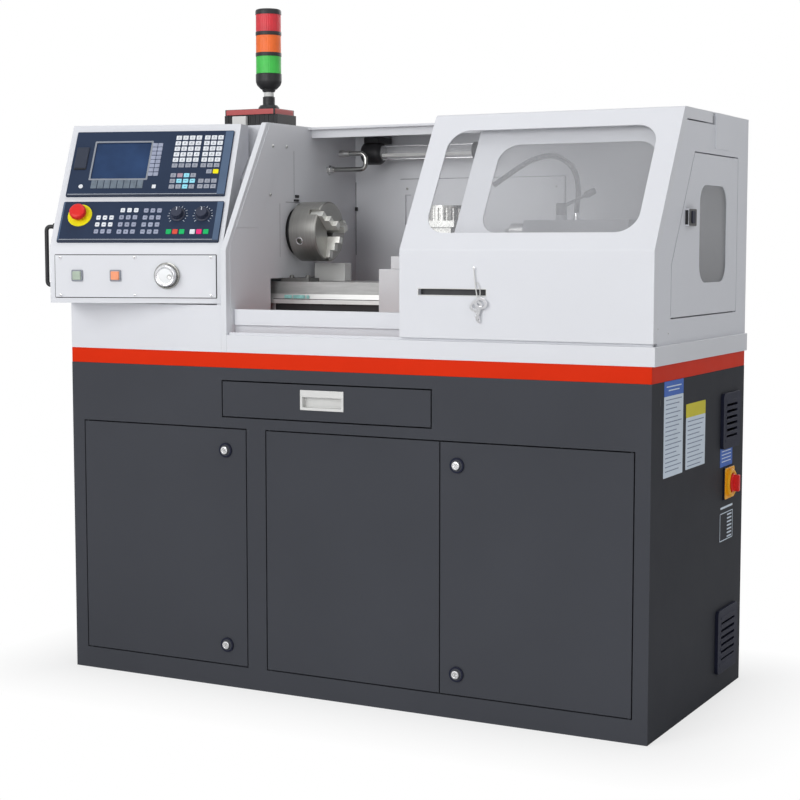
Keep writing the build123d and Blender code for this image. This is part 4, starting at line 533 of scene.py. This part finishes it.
row = [(x, 36.8, 12.8, 13) for x in (-450.3, -434.5, -418, -376.1, -359.3)]
tiles("keys_green", DESK, BOX, KEY_GREEN, [row[0], row[2], row[4]], 1.4, 0.4, 2, P)
tiles("keys_red", DESK, BOX, KEY_RED, [row[1]], 1.4, 0.4, 2, P)
tiles("keys_pink", DESK, BOX, KEY_PINK, [row[3]], 1.4, 0.4, 2, P)
marks = [(x, y + 1.5, w * 0.30, 1.2) for x, y, w, h in whites + greys]
marks += [(x, y - 1.7, w * 0.45, 1.0) for x, y, w, h in whites + greys]
marks += [(x, y, 5, 1.3) for x, y, w, h in modes + moves + cyans]
marks += [(x, y, 1.3, 5) for x, y, w, h in moves[3:9]]
tiles("key_legends", DESK, BOX, LEGEND, marks, 0.15, 0, 0.3, P + 1.15)
bm = bmesh.new()
turned(bm, [(5.5, P), (5.5, P + 1.2), (4.6, P + 1.8), (0, P + 1.8)], 24)
bmesh.ops.translate(bm, vec=(-689.6, 164, 0), verts=bm.verts)
emit("operator_port_cap", bm, DESK, BOX, KEY_WHITE)

# Emergency stop, dials, buttons and handwheel
STOP = (-677, 82)
bm = bmesh.new()
turned(bm, [(30, 0), (30, 1.6), (29.4, 2.0), (12.2, 2.0), (12.2, 0)], 64)
bmesh.ops.translate(bm, vec=(*STOP, P), verts=bm.verts)
emit("stop_disc", bm, DESK, BOX, STOP_YELLOW)
bm = bmesh.new()
turned(bm, [(11, -5), (11, 15), (16, 15.2), (19, 16), (20, 18.5), (20, 25), (19, 28.5), (16.5, 30.4), (11, 31), (0, 31)], 56)
bmesh.ops.translate(bm, vec=(*STOP, 0), verts=bm.verts)
emit("stop_head", bm, DESK, "stop_body", STOP_RED, ("emergency_stop",))
for node, (x, s) in (("feed_knob", (-434, 83)), ("speed_knob", (-373, 83))):
    body = body_of_node[node]
    bm = bmesh.new()
    turned(bm, [(5, -3), (5, P + 0.3), (18, P + 0.3), (18, P + 2.5), (15.4, P + 4), (14.4, P + 7), (14, P + 15.5),
                (13, P + 17), (0, P + 17)], 72, 18, 0.5)
    bmesh.ops.translate(bm, vec=(x, s, 0), verts=bm.verts)
    emit(node + "_grip", bm, DESK, body, DIAL_BLUE, (node,))
    tiles(node + "_pointer", DESK, body, PALE_LEGEND, [(x, s + 8, 1.6, 9)], 0.3, 0, 0.5, P + 16.8)
    ticks = bmesh.new()
    for k in range(15):
        turn = Matrix.Rotation(radians(225 - k * 270 / 14), 4, "Z")
        long = 5.0 if k % 2 == 0 else 3.0
        mark = bmesh.new()
        prism(mark, rounded(20.5 + long / 2, 0, long, 1.1, 0.3, 1), P, P + 0.25)
        join(ticks, mark, Matrix.Translation((x, s, 0)) @ turn)
    emit(node + "_scale", ticks, DESK, BOX, PALE_LEGEND, weighted=False)

PLATE = (-528.5, 972.5, 395, 99)
BUTTON_Z, WHEEL_X = 974, -449
dressed("button_plate", WHITE, 0.5)
# Painted shade: a dark ring in the gap around the button plate.
bm = bmesh.new()
collar(bm, rounded(PLATE[0], PLATE[1], PLATE[2] + 4, PLATE[3] + 4, 2.5), rounded(*PLATE, 2), -2.9, -2.3)
emit("button_plate_gap_shadow", bm, BOX_FRONT, BOX, DARK_STEEL)
screws("button_plate_screws", BOX_FRONT, BOX, [(x, z) for x in (-713, -528.5, -342) for z in (928, 1017)], 4.2, 2.6)
for node, x, paint, slot in (("start_button", -671, BUTTON_GREEN, "green_button"),
                             ("stop_button", -576, BUTTON_ORANGE, "orange_button")):
    bm = bmesh.new()
    prism(bm, rounded(x, BUTTON_Z, 20, 20, 2), -6, 8, 1.6, 3)
    emit(node + "_cap", bm, BOX_FRONT, body_of_node[node], paint, (node,))
    bm = bmesh.new()
    collar(bm, rounded(x, BUTTON_Z, 27, 27, 2.5), rounded(x, BUTTON_Z, 20.5, 20.5, 2), 0, 4.4, 0.8)
    emit(node + "_bezel", bm, BOX_FRONT, BOX, BEZEL)
bm = bmesh.new()
turned(bm, [(8, -9), (8, 0.3), (26, 0.3), (27, 1.4), (27, 8), (25.4, 10), (25, 19), (24, 21.3), (22, 22.3), (20, 21.8),
            (19, 20.2), (18.5, 19.3), (9, 18.7), (0, 18.6)], 72)
bmesh.ops.translate(bm, vec=(WHEEL_X, BUTTON_Z, 0), verts=bm.verts)
emit("jog_wheel", bm, BOX_FRONT, "handwheel_body", CHROME, ("jog_handwheel",))
bm = bmesh.new()
collar(bm, circle(WHEEL_X, BUTTON_Z, 31, 64), circle(WHEEL_X, BUTTON_Z, 27.4, 64), 0.2, 7, 1.5)
emit("jog_wheel_ring", bm, BOX_FRONT, BOX, PIPE)
bm = bmesh.new()
turned(bm, [(17.5, 18.7), (17.5, 19.3), (16.8, 19.6), (0, 19.7)], 48)
bmesh.ops.translate(bm, vec=(WHEEL_X, BUTTON_Z, 0), verts=bm.verts)
emit("jog_wheel_face", bm, BOX_FRONT, "handwheel_body", WHEEL_FACE)
bm = bmesh.new()
turned(bm, [(6, 19.6), (6, 20.4), (5.2, 20.8), (3.8, 19.9), (0, 19.7)], 32)
bmesh.ops.translate(bm, vec=(WHEEL_X + 11, BUTTON_Z - 2, 0), verts=bm.verts)
emit("jog_wheel_dimple", bm, BOX_FRONT, "handwheel_body", SATIN)

# Bow handle on the left side of the box
HANDLE_Y, HANDLE_Z = -276, (950, 1090)
bm = bmesh.new()
line = bent([(-740, HANDLE_Y, HANDLE_Z[1]), (-762, HANDLE_Y, HANDLE_Z[1]), (-762, HANDLE_Y, HANDLE_Z[0]),
             (-740, HANDLE_Y, HANDLE_Z[0])], 12, 8)
hose(bm, line, [5.0] * len(line), 20)
emit("bow_handle", bm, SWING, BOX, BLACK, ("control_box_handle",))
bm = bmesh.new()
for z in HANDLE_Z:
    ring = bmesh.new()
    turned(ring, [(8.5, -0.2), (8.5, 3), (7.5, 4), (5, 4)], 24)
    join(bm, ring, at(-740, HANDLE_Y, z, "-X"))
emit("bow_handle_feet", bm, SWING, BOX, BLACK)

# Signal tower and junction box ---------------------------------------------------

TX, TY = -366, -20
bm = bmesh.new()
turned(bm, [(26, 1380), (26, 1385), (21, 1391), (15, 1392), (15, 1411), (12, 1412), (12, 1423), (15, 1424), (17, 1430),
            (20, 1430.5), (29, 1440), (31.5, 1447), (32, 1450), (32, 1467), (30, 1468), (10, 1468)], 56)
emit("tower_base", bm, at(TX, TY, 0), "machine", BLACK, ("signal_tower_body",))
bm = bmesh.new()
turned(bm, [(12.4, 1412.5), (12.4, 1422.5), (9, 1422.5), (9, 1412.5)], 40)
emit("tower_collar", bm, at(TX, TY, 0), "machine", LIGHT)
for k, z in enumerate((1510, 1561, 1612)):
    bm = bmesh.new()
    top = 9 if k < 2 else 13
    profile = [(28, z), (31.6, z), (32, z + 1), (32, z + top - 1), (31.6, z + top), (28, z + top)]
    if k == 2:
        profile = [(28, z), (32, z), (32, z + 8), (30.5, z + 11.5), (27, z + 13), (0, z + 13)]
    turned(bm, profile, 96, 32 if k < 2 else 0, 0.6)
    emit("tower_ring_" + str(k + 1), bm, at(TX, TY, 0), "machine", BLACK)
bm = bmesh.new()
turned(bm, [(9, 1468), (9, 1612)], 24)
emit("tower_core", bm, at(TX, TY, 0), "machine", LIGHT)
for colour, z, paint in (("green", 1468, LENS_GREEN), ("amber", 1519, LENS_AMBER), ("red", 1570, LENS_RED)):
    bm = bmesh.new()
    turned(bm, [(28, z + 0.2), (31, z + 0.2), (31, z + 41.8), (28, z + 41.8)], 180, 45, 0.7)
    emit("tower_lens_" + colour, bm, at(TX, TY, 0), "machine", paint, ("signal_lens_" + colour,), soft=60)
dressed("junction_box", BLACK, 0.8)
bm = bmesh.new()
prism(bm, rounded(-394, -19, 146, 94, 8), 1366.5, 1380, 3, 3)
emit("junction_lid", bm, TOP, "machine", LID_RED)
bm = bmesh.new()
prism(bm, rounded(-421.5, -66.5, 40, 11, 2), 1340.5, 1363, 1, 2)
emit("junction_plug", bm, TOP, "machine", LIGHT)

# Locks and keys ------------------------------------------------------------------

for node, x, z in (("left_door_lower_lock", -299, 101), ("left_door_upper_lock", -299, 566),
                   ("right_door_lower_lock", 305.5, 101), ("right_door_upper_lock", 305.5, 566)):
    body = body_of_node[node]
    frame["nodes"][node].data.materials.clear()
    frame["nodes"][node].data.materials.append(SATIN)
    bm = bmesh.new()
    turned(bm, [(8.6, -4), (8.6, 8.4), (8.2, 9.2), (6.4, 9.6), (5.6, 8.6), (0, 8.6)], 40)
    emit(node + "_barrel", bm, at(x, -325, z, "-Y"), body, CHROME)
    # Painted shade: a dark plate on the barrel for the shade inside the keyway.
    tiles(node + "_keyway_shade", at(x, -325, z, "-Y"), body, DARK_STEEL, [(0, 0, 1.6, 7)], 0.4, 0, 0.5, 8.5)
    bm = bmesh.new()
    turned(bm, [(9.3, 3.6), (15.4, 4.2), (16.8, 4.2), (17.1, 3.2), (17.1, 0.2), (9.3, 0.2)], 48)
    emit(node + "_escutcheon", bm, at(x, -325, z, "-Y"), body_of_node[node.split("_")[0] + "_cabinet_door"], BLACK_BLUE)

bm = bmesh.new()
wire = curve_through([(346, -329, 998), (347, -329.6, 985), (350, -330, 960), (354, -330.5, 938), (356, -331, 929)], 3)
hose(bm, wire, [1.2] * len(wire), 10)
wire = curve_through([(349, -327.5, 956), (353, -328, 966), (358, -328, 958), (361, -329, 945), (360, -331, 932), (356, -331, 927)], 3)
hose(bm, wire, [0.9] * len(wire), 8)
emit("key_wire", bm, TOP, "sliding_door_body", LIGHT)
bm = bmesh.new()
for (x, z), turn, y in (((352, 915), -12, -329), ((364, 921), 14, -331.2)):
    one = bmesh.new()
    outer = [(15.5 * cos(2 * pi * k / 32), 12.5 * sin(2 * pi * k / 32)) for k in range(32)]
    hole = [(9.5 * cos(2 * pi * k / 32), 6.5 * sin(2 * pi * k / 32)) for k in range(32)]
    collar(one, outer, hole, 0, 2, 0.3)
    prism(one, rounded(0, -24, 6.5, 26, 1.5, 2), 0.2, 1.8, 0.3, 1)
    prism(one, rounded(-4, -31, 5, 4, 0.8, 2), 0.3, 1.7, 0.3, 1)
    prism(one, rounded(-3.6, -24, 4, 3, 0.8, 2), 0.3, 1.7, 0.3, 1)
    join(bm, one, at(x, y, z, "-Y") @ Matrix.Rotation(radians(-turn), 4, "Z"))
emit("key_pair", bm, TOP, "sliding_door_body", CHROME, ("door_keys",))
bm = bmesh.new()
turned(bm, [(4, -0.5), (4, 3), (3.2, 4.4), (0, 4.6)], 24)
emit("key_stud", bm, at(346, -325, 996, "-Y"), "sliding_door_body", CHROME)
bm = bmesh.new()
collar(bm, rounded(291, 944, 167, 17, 2), rounded(291, 944, 163.4, 13.4, 1.4), -1.5, 0.35, 0.2)
emit("finger_slot_rim", bm, FRONT, "sliding_door_body", LIGHT)
# Painted shade: a dark floor in the finger slot.
bm = bmesh.new()
prism(bm, rounded(291, 944, 163, 13, 1), -13.8, -13.2)
emit("finger_slot_floor_shade", bm, FRONT, "sliding_door_body", DARK_STEEL)

# Machine inside ------------------------------------------------------------------

bar("bed_casting", [(-108, 805), (108, 805), (108, 904.5), (-108, 904.5)], -690, 720, "machine", CAST_PAINT, ("bed",))
for k, (x0, x1) in enumerate(((-660, -420), (460, 700))):
    bar("bed_foot_" + str(k + 1), [(-104, 764), (104, 764), (108, 805), (-108, 805)], x0, x1, "machine", CAST_PAINT)
# Painted shade: a black band on the bed's front just under the overhang of the ways.
bar("bed_front_shade_band", [(-109, 886), (-107, 886), (-107, 904.5), (-109, 904.5)], -294, 719, "machine", BLACK, edge=0.2)
bar("bed_ways", [(-122, 905), (122, 905), (122, 915), (-122, 915)], -690, 720, "machine", GROUND, edge=1)
for side in (-1, 1):
    ridge = [(side * 102, 915), (side * 107, 928), (side * 113, 928), (side * 118, 915)]
    bar("bed_ridge_" + ("front" if side < 0 else "back"), ridge if side < 0 else ridge[::-1], -690, 720, "machine", GROUND,
        edge=0.5)
bar("bed_spine", [(-92, 915), (92, 915), (92, 957), (-92, 957)], -690, 720, "machine", CAST, edge=1)
bar("bed_clamp", [(-90, 957), (-40, 957), (-40, 966), (-90, 966)], -290, -211, "machine", CLAMP, edge=1)
# Painted shadow: a thin black bar between the way and the front ridge for the shade in the gap between them.
bar("bed_way_shadow_line", [(-119.8, 914.8), (-118, 914.8), (-118, 916.6), (-119.8, 916.6)], -294, 719, "machine", BLACK,
    edge=0.2)
screws("bed_clamp_screws", at(0, 0, 966), "machine", [(-274, -65), (-228, -65)], 6, 7, CLAMP)
bar("bed_guard", [(60, 957), (92, 957), (92, 1001), (60, 1001)], -284, -196, "machine", LIGHT, edge=1)
tiles("bed_tag", facing((0, -118.2, 0), (1, 0, 0), (0, 0, 1)), "machine", TAG,
      [(-252.8, 921.5, 21, 8), (-221.8, 921.5, 33, 8), (-197.6, 921.5, 7, 8)], 0.5, 0, 1, 0)

dressed("headstock", CAST_PAINT, 2)
dressed("spindle", DARK_STEEL, 0.6)
dressed("chuck_body", TURNED, 0.7, least=32)
for number in (1, 2, 3):
    dressed("chuck_jaw_" + str(number), JAW, 0.6)
bm = bmesh.new()
for turn in (199, 319, 79):
    a = radians(turn)
    ring = bmesh.new()
    collar(ring, circle(0, 0, 9.6, 28), circle(0, 0, 7.1, 28), 71, 73.6, 0.6)
    join(bm, ring, facing((-250, 0, 1079), (1, 0, 0), (0, sin(a), -cos(a))))
emit("chuck_socket_rings", bm, TOP, "spindle_body", CHROME)
dressed("carriage", SADDLE, 1.5)
dressed("cross_slide", SADDLE, 1.2)
dressed("tool_turret", FLUTED, 0.5)
dressed("tailstock", CAST_PAINT, 2)
bm = bmesh.new()
turned(bm, [(1, -24), (11, -6), (16, -5.6), (17, -4.6), (17, 250)], 48)
emit("quill_bar", bm, at(292, 0, 1079, "X"), "quill_body", SATIN, ("tailstock_quill",))
bm = bmesh.new()
turned(bm, [(7, 1100), (7, 1114.3), (12, 1114.4), (12.5, 1116), (12.5, 1140), (11, 1142), (0, 1142.3)], 40)
emit("lever_hub", bm, at(411, 0, 0), "lever_body", DARK_STEEL, ("tailstock_lever",))
bm = bmesh.new()
rod = [Vector((411, 0, 1132)), Vector((494, 0, 1170))]
way = (rod[1] - rod[0]).normalized()
length = (rod[1] - rod[0]).length
stops = [(0, 3.8), (length - 28, 3.8), (length - 27, 7), (length - 24, 8), (length - 3, 7.6), (length - 0.5, 6), (length, 0.5)]
hose(bm, [rod[0] + way * d for d, r in stops], [r for d, r in stops], 20)
emit("lever_rod", bm, TOP, "lever_body", DARK_STEEL)
bar("carriage_wiper", [(-146, 892), (-128, 892), (-98, 932), (-98, 985), (-146, 985)], 13, 15, "carriage_body", LIGHT,
    edge=0.4)

# Plates, painted shadow lines at the joints, and screws of the inner walls
bm = bmesh.new()
prism(bm, [(-282, 1087), (-190.4, 1087), (-39, 1335), (-132, 1335)], 0.1, 1.3, 0.3, 1)
emit("wall_plate_upper", bm, WALL, "machine", INNER)
bm = bmesh.new()
prism(bm, [(-308, 842), (-218, 842), (-216, 1003), (-180, 1064), (-176, 1086), (-284, 1086), (-308, 1040)], 0.1, 0.7, 0.2, 1)
emit("wall_plate_lower", bm, WALL, "machine", INNER)
# Painted shadow: thin dark lines along the joints of the left wall.
tiles("wall_joint_shadows", WALL, "machine", JOINT_SHADOW, [(-26, 1151, 67, 1.2), (-19, 1219, 1, 116), (-86, 1082, 0.8, 130)],
      0.3, 0, 0.3, 0)
tiles("wall_clips", WALL, "machine", BLACK, [(-7, 1166, 16, 7), (-10, 1156, 22, 5)], 3, 0.5, 1, 0)
screws("wall_screws", WALL, "machine", [(-130, 1167), (-118, 1284), (-55, 1285)], 4, 2, SATIN, 1.3)
# Painted shadow: a dark line in the corner joint of the rear wall.
tiles("corner_joint_shadow", INNER_BACK, "machine", JOINT_SHADOW, [(-293.6, 1115, 1.8, 190)], 0.4, 0, 0.3, 0)
tiles("corner_clip", INNER_BACK, "machine", BLACK, [(-291, 1140, 6, 10)], 6, 0.5, 1, 0)
# Painted shadow: a thin dark outline in the gap around the access cover.
bm = bmesh.new()
collar(bm, rounded(70, 1087.5, 463.4, 258.4, 2), rounded(70, 1087.5, 460.4, 255.4, 2), 0.1, 0.7)
emit("access_cover_joint_shadow", bm, INNER_BACK, "machine", JOINT_SHADOW)
screws("access_cover_screws", INNER_BACK, "machine", [(x, z) for x in (-138, 278) for z in (984, 1191)], 3.5, 2, SATIN,
       6)

# Gooseneck hose, coolant pipe and work lamp
path = curve_through([(436, 30, 1112), (438, 30, 1140), (440, 30, 1172), (432, 30, 1212), (411, 30, 1237), (384, 30, 1250),
                      (356, 30, 1251), (325, 30, 1243), (294, 30, 1228), (227, 30, 1187)], 1.2)
radii = [6.5 if k % 3 else 5.5 for k in range(len(path))]
bm = bmesh.new()
hose(bm, path, radii, 16)
emit("gooseneck_hose", bm, TOP, "tailstock_body", BLACK, ("coolant_gooseneck",), weighted=False)
bm = bmesh.new()
turned(bm, [(10, 0), (10, 6), (8, 7), (8, 15), (7, 16.5), (4, 16.5)], 32)
emit("gooseneck_foot", bm, at(436, 30, 1103), "tailstock_body", CHROME)
bm = bmesh.new()
line = bent([(-295, 150, 1237), (-186, 150, 1237), (-186, 150, 1277), (-240, 150, 1277)], 17, 8)
hose(bm, line, [6.0] * len(line), 20)
emit("coolant_pipe", bm, TOP, "machine", PIPE, ("coolant_nozzle",))
bm = bmesh.new()
for x, z, profile in ((-295, 1237, [(12, 0.1), (12, 6), (9, 7), (9, 18), (6, 19)]),
                      (-262, 1277, [(3, 0), (7.5, 1), (9, 3), (9, 14), (7.6, 15), (7.6, 28), (6, 29.5)])):
    ring = bmesh.new()
    turned(ring, profile, 6 if x == -295 else 32)
    join(bm, ring, at(x, 150, z, "X"))
emit("coolant_fittings", bm, TOP, "machine", SATIN)

bm = bmesh.new()
turned(bm, [(17, 0), (19, 0), (19, 258), (17, 258)], 48)
emit("lamp_glass", bm, at(-172, 220, 1280, "X"), "machine", TUBE_CLEAR, ("work_lamp",))
bm = bmesh.new()
prism(bm, rounded(220, 1274, 22, 8, 1.5), -171.5, 85.5)
emit("lamp_tray", bm, facing((0, 0, 0), (0, 1, 0), (0, 0, 1)), "machine", LAMP_CORE)
bm = bmesh.new()
for z in (1296.5, 1263.5):
    prism(bm, rounded(216, z, 7, 3.4, 1), -171.5, 85.5)
emit("lamp_bands", bm, facing((0, 0, 0), (0, 1, 0), (0, 0, 1)), "machine", CHROME)
bm = bmesh.new()
turned(bm, [(12, 0), (24, 1), (28, 5), (29, 12), (29, 44), (26, 50), (21, 56)], 48)
emit("lamp_cap_left", bm, at(-228, 220, 1280, "X"), "machine", BLACK)
bm = bmesh.new()
turned(bm, [(21, 0), (22, 1), (22, 19), (19, 22), (0, 22)], 48)
emit("lamp_cap_right", bm, at(86, 220, 1280, "X"), "machine", BLACK)
bm = bmesh.new()
prism(bm, rounded(-200, 240, 44, 76, 5), 1306, 1321, 2)
prism(bm, rounded(-205, 265, 14, 50, 2), 1272, 1288, 1)
prism(bm, rounded(97, 265, 14, 50, 2), 1272, 1288, 1)
emit("lamp_brackets", bm, TOP, "machine", BLACK)

# Cabinet side and small things -------------------------------------

dressed("cabinet_side_plates", BLACK_BLUE, 1.0)
for k, (y, z, size) in enumerate(((210, 640, 130), (204, 124, 150))):
    bm = bmesh.new()
    for step in range(7):
        s = size - 26 - step * 2
        prism(bm, rounded(y, z - size / 2 + 20 + step * (size - 40) / 6, s - 6, 7, 2, 3), 7, 8.6, 1, 2)
    emit("fan_louvre_" + str(k + 1), bm, RIGHT, "machine", BLACK_BLUE)
bm = bmesh.new()
collar(bm, rounded(207.5, 492.5, 74, 74, 6), circle(207.5, 492.5, 7.6, 24), 0.2, 5.6, 1.2)
emit("switch_plate", bm, RIGHT, "machine", SWITCH_YELLOW)
bm = bmesh.new()
turned(bm, [(7, 1), (7, 5.4), (20, 5.4), (21, 6.6), (21, 15.5), (19.5, 17), (0, 17)], 56)
bmesh.ops.translate(bm, vec=(207.5, 492.5, 0), verts=bm.verts)
prism(bm, rounded(207.5, 492.5, 11.5, 39, 3), 16, 29.5, 2.5, 3)
emit("switch_grip", bm, RIGHT, "main_switch_body", STOP_RED, ("main_switch_knob",))
bm = bmesh.new()
collar(bm, circle(207.5, 492.5, 33, 48), circle(207.5, 492.5, 22.5, 48), 5, 14, 3)
emit("switch_collar", bm, RIGHT, "machine", SWITCH_YELLOW)
tiles("plate_fields_pale", RIGHT, "machine", PALE, [(-186, 641.5, 124, 173), (-36, 614, 134, 114)], 0.5, 0, 2, 0)
tiles("plate_fields_blue", RIGHT, "machine", PLATE_BLUE, [(-186, 744, 124, 32), (193, 555, 92, 44)], 0.6, 0, 2, 0)
tiles("plate_fields_yellow", RIGHT, "machine", PLATE_YELLOW, [(-36, 686, 134, 30)], 0.6, 0, 2, 0)
lines = [(-186 - (k * 7 % 5) * 4, 720 - k * 9.5, 104 - (k * 7 % 5) * 8, 2) for k in range(17)]
lines += [(-36 - (k * 5 % 4) * 5, 662 - k * 9.8, 112 - (k * 5 % 4) * 10, 2) for k in range(11)]
tiles("plate_print", RIGHT, "machine", PRINT, lines, 0.62, 0, 0.8, 0)
tiles("plate_print_pale", RIGHT, "machine", PALE, [(-186, 748, 96, 2.5), (-186, 740, 70, 2.5)]
      + [(193, z, 70, 2) for z in (545, 553, 561, 569)], 0.72, 0, 0.8, 0)
tiles("plate_table", RIGHT, "machine", PALE,
      [(202, 423, 96, 2), (202, 359, 96, 2), (154, 391, 2, 64), (250, 391, 2, 64), (202, 436, 92, 5)]
      + [(225, 416 - k * 8.6, 34, 3.6) for k in range(7)], 0.4, 0, 0.8, 0)

# Latch, and painted shade at the front edge of the right wall: a darker fold strip for the shaded fold and a black line
# for the shade in the gap
bm = bmesh.new()
prism(bm, rounded(-101, 1105, 54.4, 38.4, 5), 0.2, 8.2, 1.5, 2)
emit("side_latch_cover", bm, RIGHT, "side_door_body", BLACK)
bm = bmesh.new()
prism(bm, rounded(-99, 1106, 22, 27, 4), 8, 10, 1, 2)
emit("side_latch_grip", bm, RIGHT, "side_door_body", BLACK_BLUE)


def fold_line(offset):
    return [(-325 + offset, 840), (-325 + offset, 1035), (-325 + offset + 263 * tan(SLOPE), 1298)]


# Painted shade: a darker strip along the fold at the front edge of the right wall.
bm = bmesh.new()
prism(bm, fold_line(11)[:1] + fold_line(11)[1:] + fold_line(2)[::-1], 0.1, 0.5)
emit("side_fold_painted_shade", bm, RIGHT, "machine", FOLD_SHADE)
# Painted shadow: a black line for the shade in the gap at the fold.
tiles("side_fold_gap_shadow", RIGHT, "machine", BLACK, [(-313.5, 872, 1.8, 62)], 0.6, 0, 0.5, 0)
screws("side_wall_screws", RIGHT, "machine", [(-295, 873), (-229, 861)], 2.2, 1.2, SATIN)
# Painted shade: a black tile for the shade inside a slot in the right wall.
tiles("side_slot_shade", RIGHT, "machine", BLACK, [(-273, 718, 3, 13)], 0.4, 0, 0.5, 0)

# Stage: floor, light and camera -----------------------------------------------------

def backdrop():
    """White world for the camera and for reflections, softer light for the surfaces."""
    world = bpy.data.worlds.new("studio")
    scene.world = world
    world.use_nodes = True
    nodes, links = world.node_tree.nodes, world.node_tree.links
    nodes.clear()
    out = nodes.new("ShaderNodeOutputWorld")
    seen, light = nodes.new("ShaderNodeBackground"), nodes.new("ShaderNodeBackground")
    light.inputs["Color"].default_value = (0.95, 0.97, 1.0, 1)
    light.inputs["Strength"].default_value = 0.36
    mix = nodes.new("ShaderNodeMixShader")
    path = nodes.new("ShaderNodeLightPath")
    either, any_ray = nodes.new("ShaderNodeMath"), nodes.new("ShaderNodeMath")
    either.operation = any_ray.operation = "MAXIMUM"
    links.new(path.outputs["Is Camera Ray"], either.inputs[0])
    links.new(path.outputs["Is Glossy Ray"], either.inputs[1])
    links.new(either.outputs[0], any_ray.inputs[0])
    links.new(path.outputs["Is Transmission Ray"], any_ray.inputs[1])
    links.new(any_ray.outputs[0], mix.inputs["Fac"])
    links.new(light.outputs[0], mix.inputs[1])
    links.new(seen.outputs[0], mix.inputs[2])
    seen.inputs["Color"].default_value = (1, 1, 1, 1)
    links.new(mix.outputs[0], out.inputs["Surface"])


def floor():
    """Pale floor that keeps the soft shadow near the machine and fades into the white behind it."""
    mat = bpy.data.materials.new("floor_pale")
    mat.use_nodes = True
    nodes, links = mat.node_tree.nodes, mat.node_tree.links
    shader = nodes["Principled BSDF"]
    shader.inputs["Base Color"].default_value = (0.9, 0.9, 0.9, 1)
    shader.inputs["Roughness"].default_value = 0.9
    glow = nodes.new("ShaderNodeEmission")
    place = nodes.new("ShaderNodeTexCoord")
    steps = [nodes.new("ShaderNodeVectorMath") for _ in range(4)]
    for node, operation in zip(steps, ("ABSOLUTE", "SUBTRACT", "MAXIMUM", "LENGTH")):
        node.operation = operation
    links.new(place.outputs["Object"], steps[0].inputs[0])
    for low, high in zip(steps, steps[1:]):
        links.new(low.outputs[0], high.inputs[0])
    steps[1].inputs[1].default_value = (0.75, 0.325, 0)
    steps[2].inputs[1].default_value = (0, 0, 0)
    size = steps[3]
    fade = nodes.new("ShaderNodeMapRange")
    fade.inputs["From Min"].default_value = 0.0
    fade.inputs["From Max"].default_value = 0.30
    fade.inputs["To Min"].default_value = 0.68
    links.new(size.outputs["Value"], fade.inputs["Value"])
    path = nodes.new("ShaderNodeLightPath")
    both = nodes.new("ShaderNodeMath")
    both.operation = "MULTIPLY"
    links.new(fade.outputs["Result"], both.inputs[0])
    links.new(path.outputs["Is Camera Ray"], both.inputs[1])
    mix = nodes.new("ShaderNodeMixShader")
    links.new(both.outputs[0], mix.inputs["Fac"])
    links.new(shader.outputs[0], mix.inputs[1])
    links.new(glow.outputs[0], mix.inputs[2])
    links.new(mix.outputs[0], nodes["Material Output"].inputs["Surface"])
    bm = bmesh.new()
    skin(bm, [[(-30, -30, -0.3), (30, -30, -0.3), (30, 30, -0.3), (-30, 30, -0.3)],
              [(-30, -30, -0.0005), (30, -30, -0.0005), (30, 30, -0.0005), (-30, 30, -0.0005)]])
    mesh = bpy.data.meshes.new("floor")
    bm.to_mesh(mesh)
    bm.free()
    mesh.materials.append(mat)
    obj = bpy.data.objects.new("floor", mesh)
    scene.collection.objects.link(obj)


def lamp(name, place, aim, size, power):
    data = bpy.data.lights.new(name, "AREA")
    data.shape = "DISK"
    data.size = size
    data.energy = power
    obj = bpy.data.objects.new(name, data)
    obj.location = place
    obj.rotation_euler = (Vector(aim) - Vector(place)).to_track_quat("-Z", "Y").to_euler()
    scene.collection.objects.link(obj)


backdrop()
floor()
lamp("key_light", (-1.7, -4.9, 2.7), (0, 0, 0.9), 2.6, 88)
lamp("front_light", (0.7, -5.2, 1.7), (0, 0, 1.0), 1.8, 52)
lamp("fill_light", (3.8, -2.0, 2.4), (0.4, 0, 0.9), 2.5, 14)
lamp("top_light", (0.2, -0.6, 4.4), (0, 0, 0.6), 2.6, 32)
lamp("back_light", (0.5, 4.0, 2.8), (0, 0, 0.8), 2.6, 40)

view = bpy.data.cameras.new("photo_view")
view.lens = 77.217
view.sensor_width = 36
camera = bpy.data.objects.new("photo_view", view)
camera.location = (1.9398, -3.67328, 1.04664)
camera.rotation_euler = Vector((-0.46663, 0.87984, -0.09011)).to_track_quat("-Z", "Y").to_euler()
scene.collection.objects.link(camera)
scene.camera = camera
scene.view_settings.view_transform = "Standard"
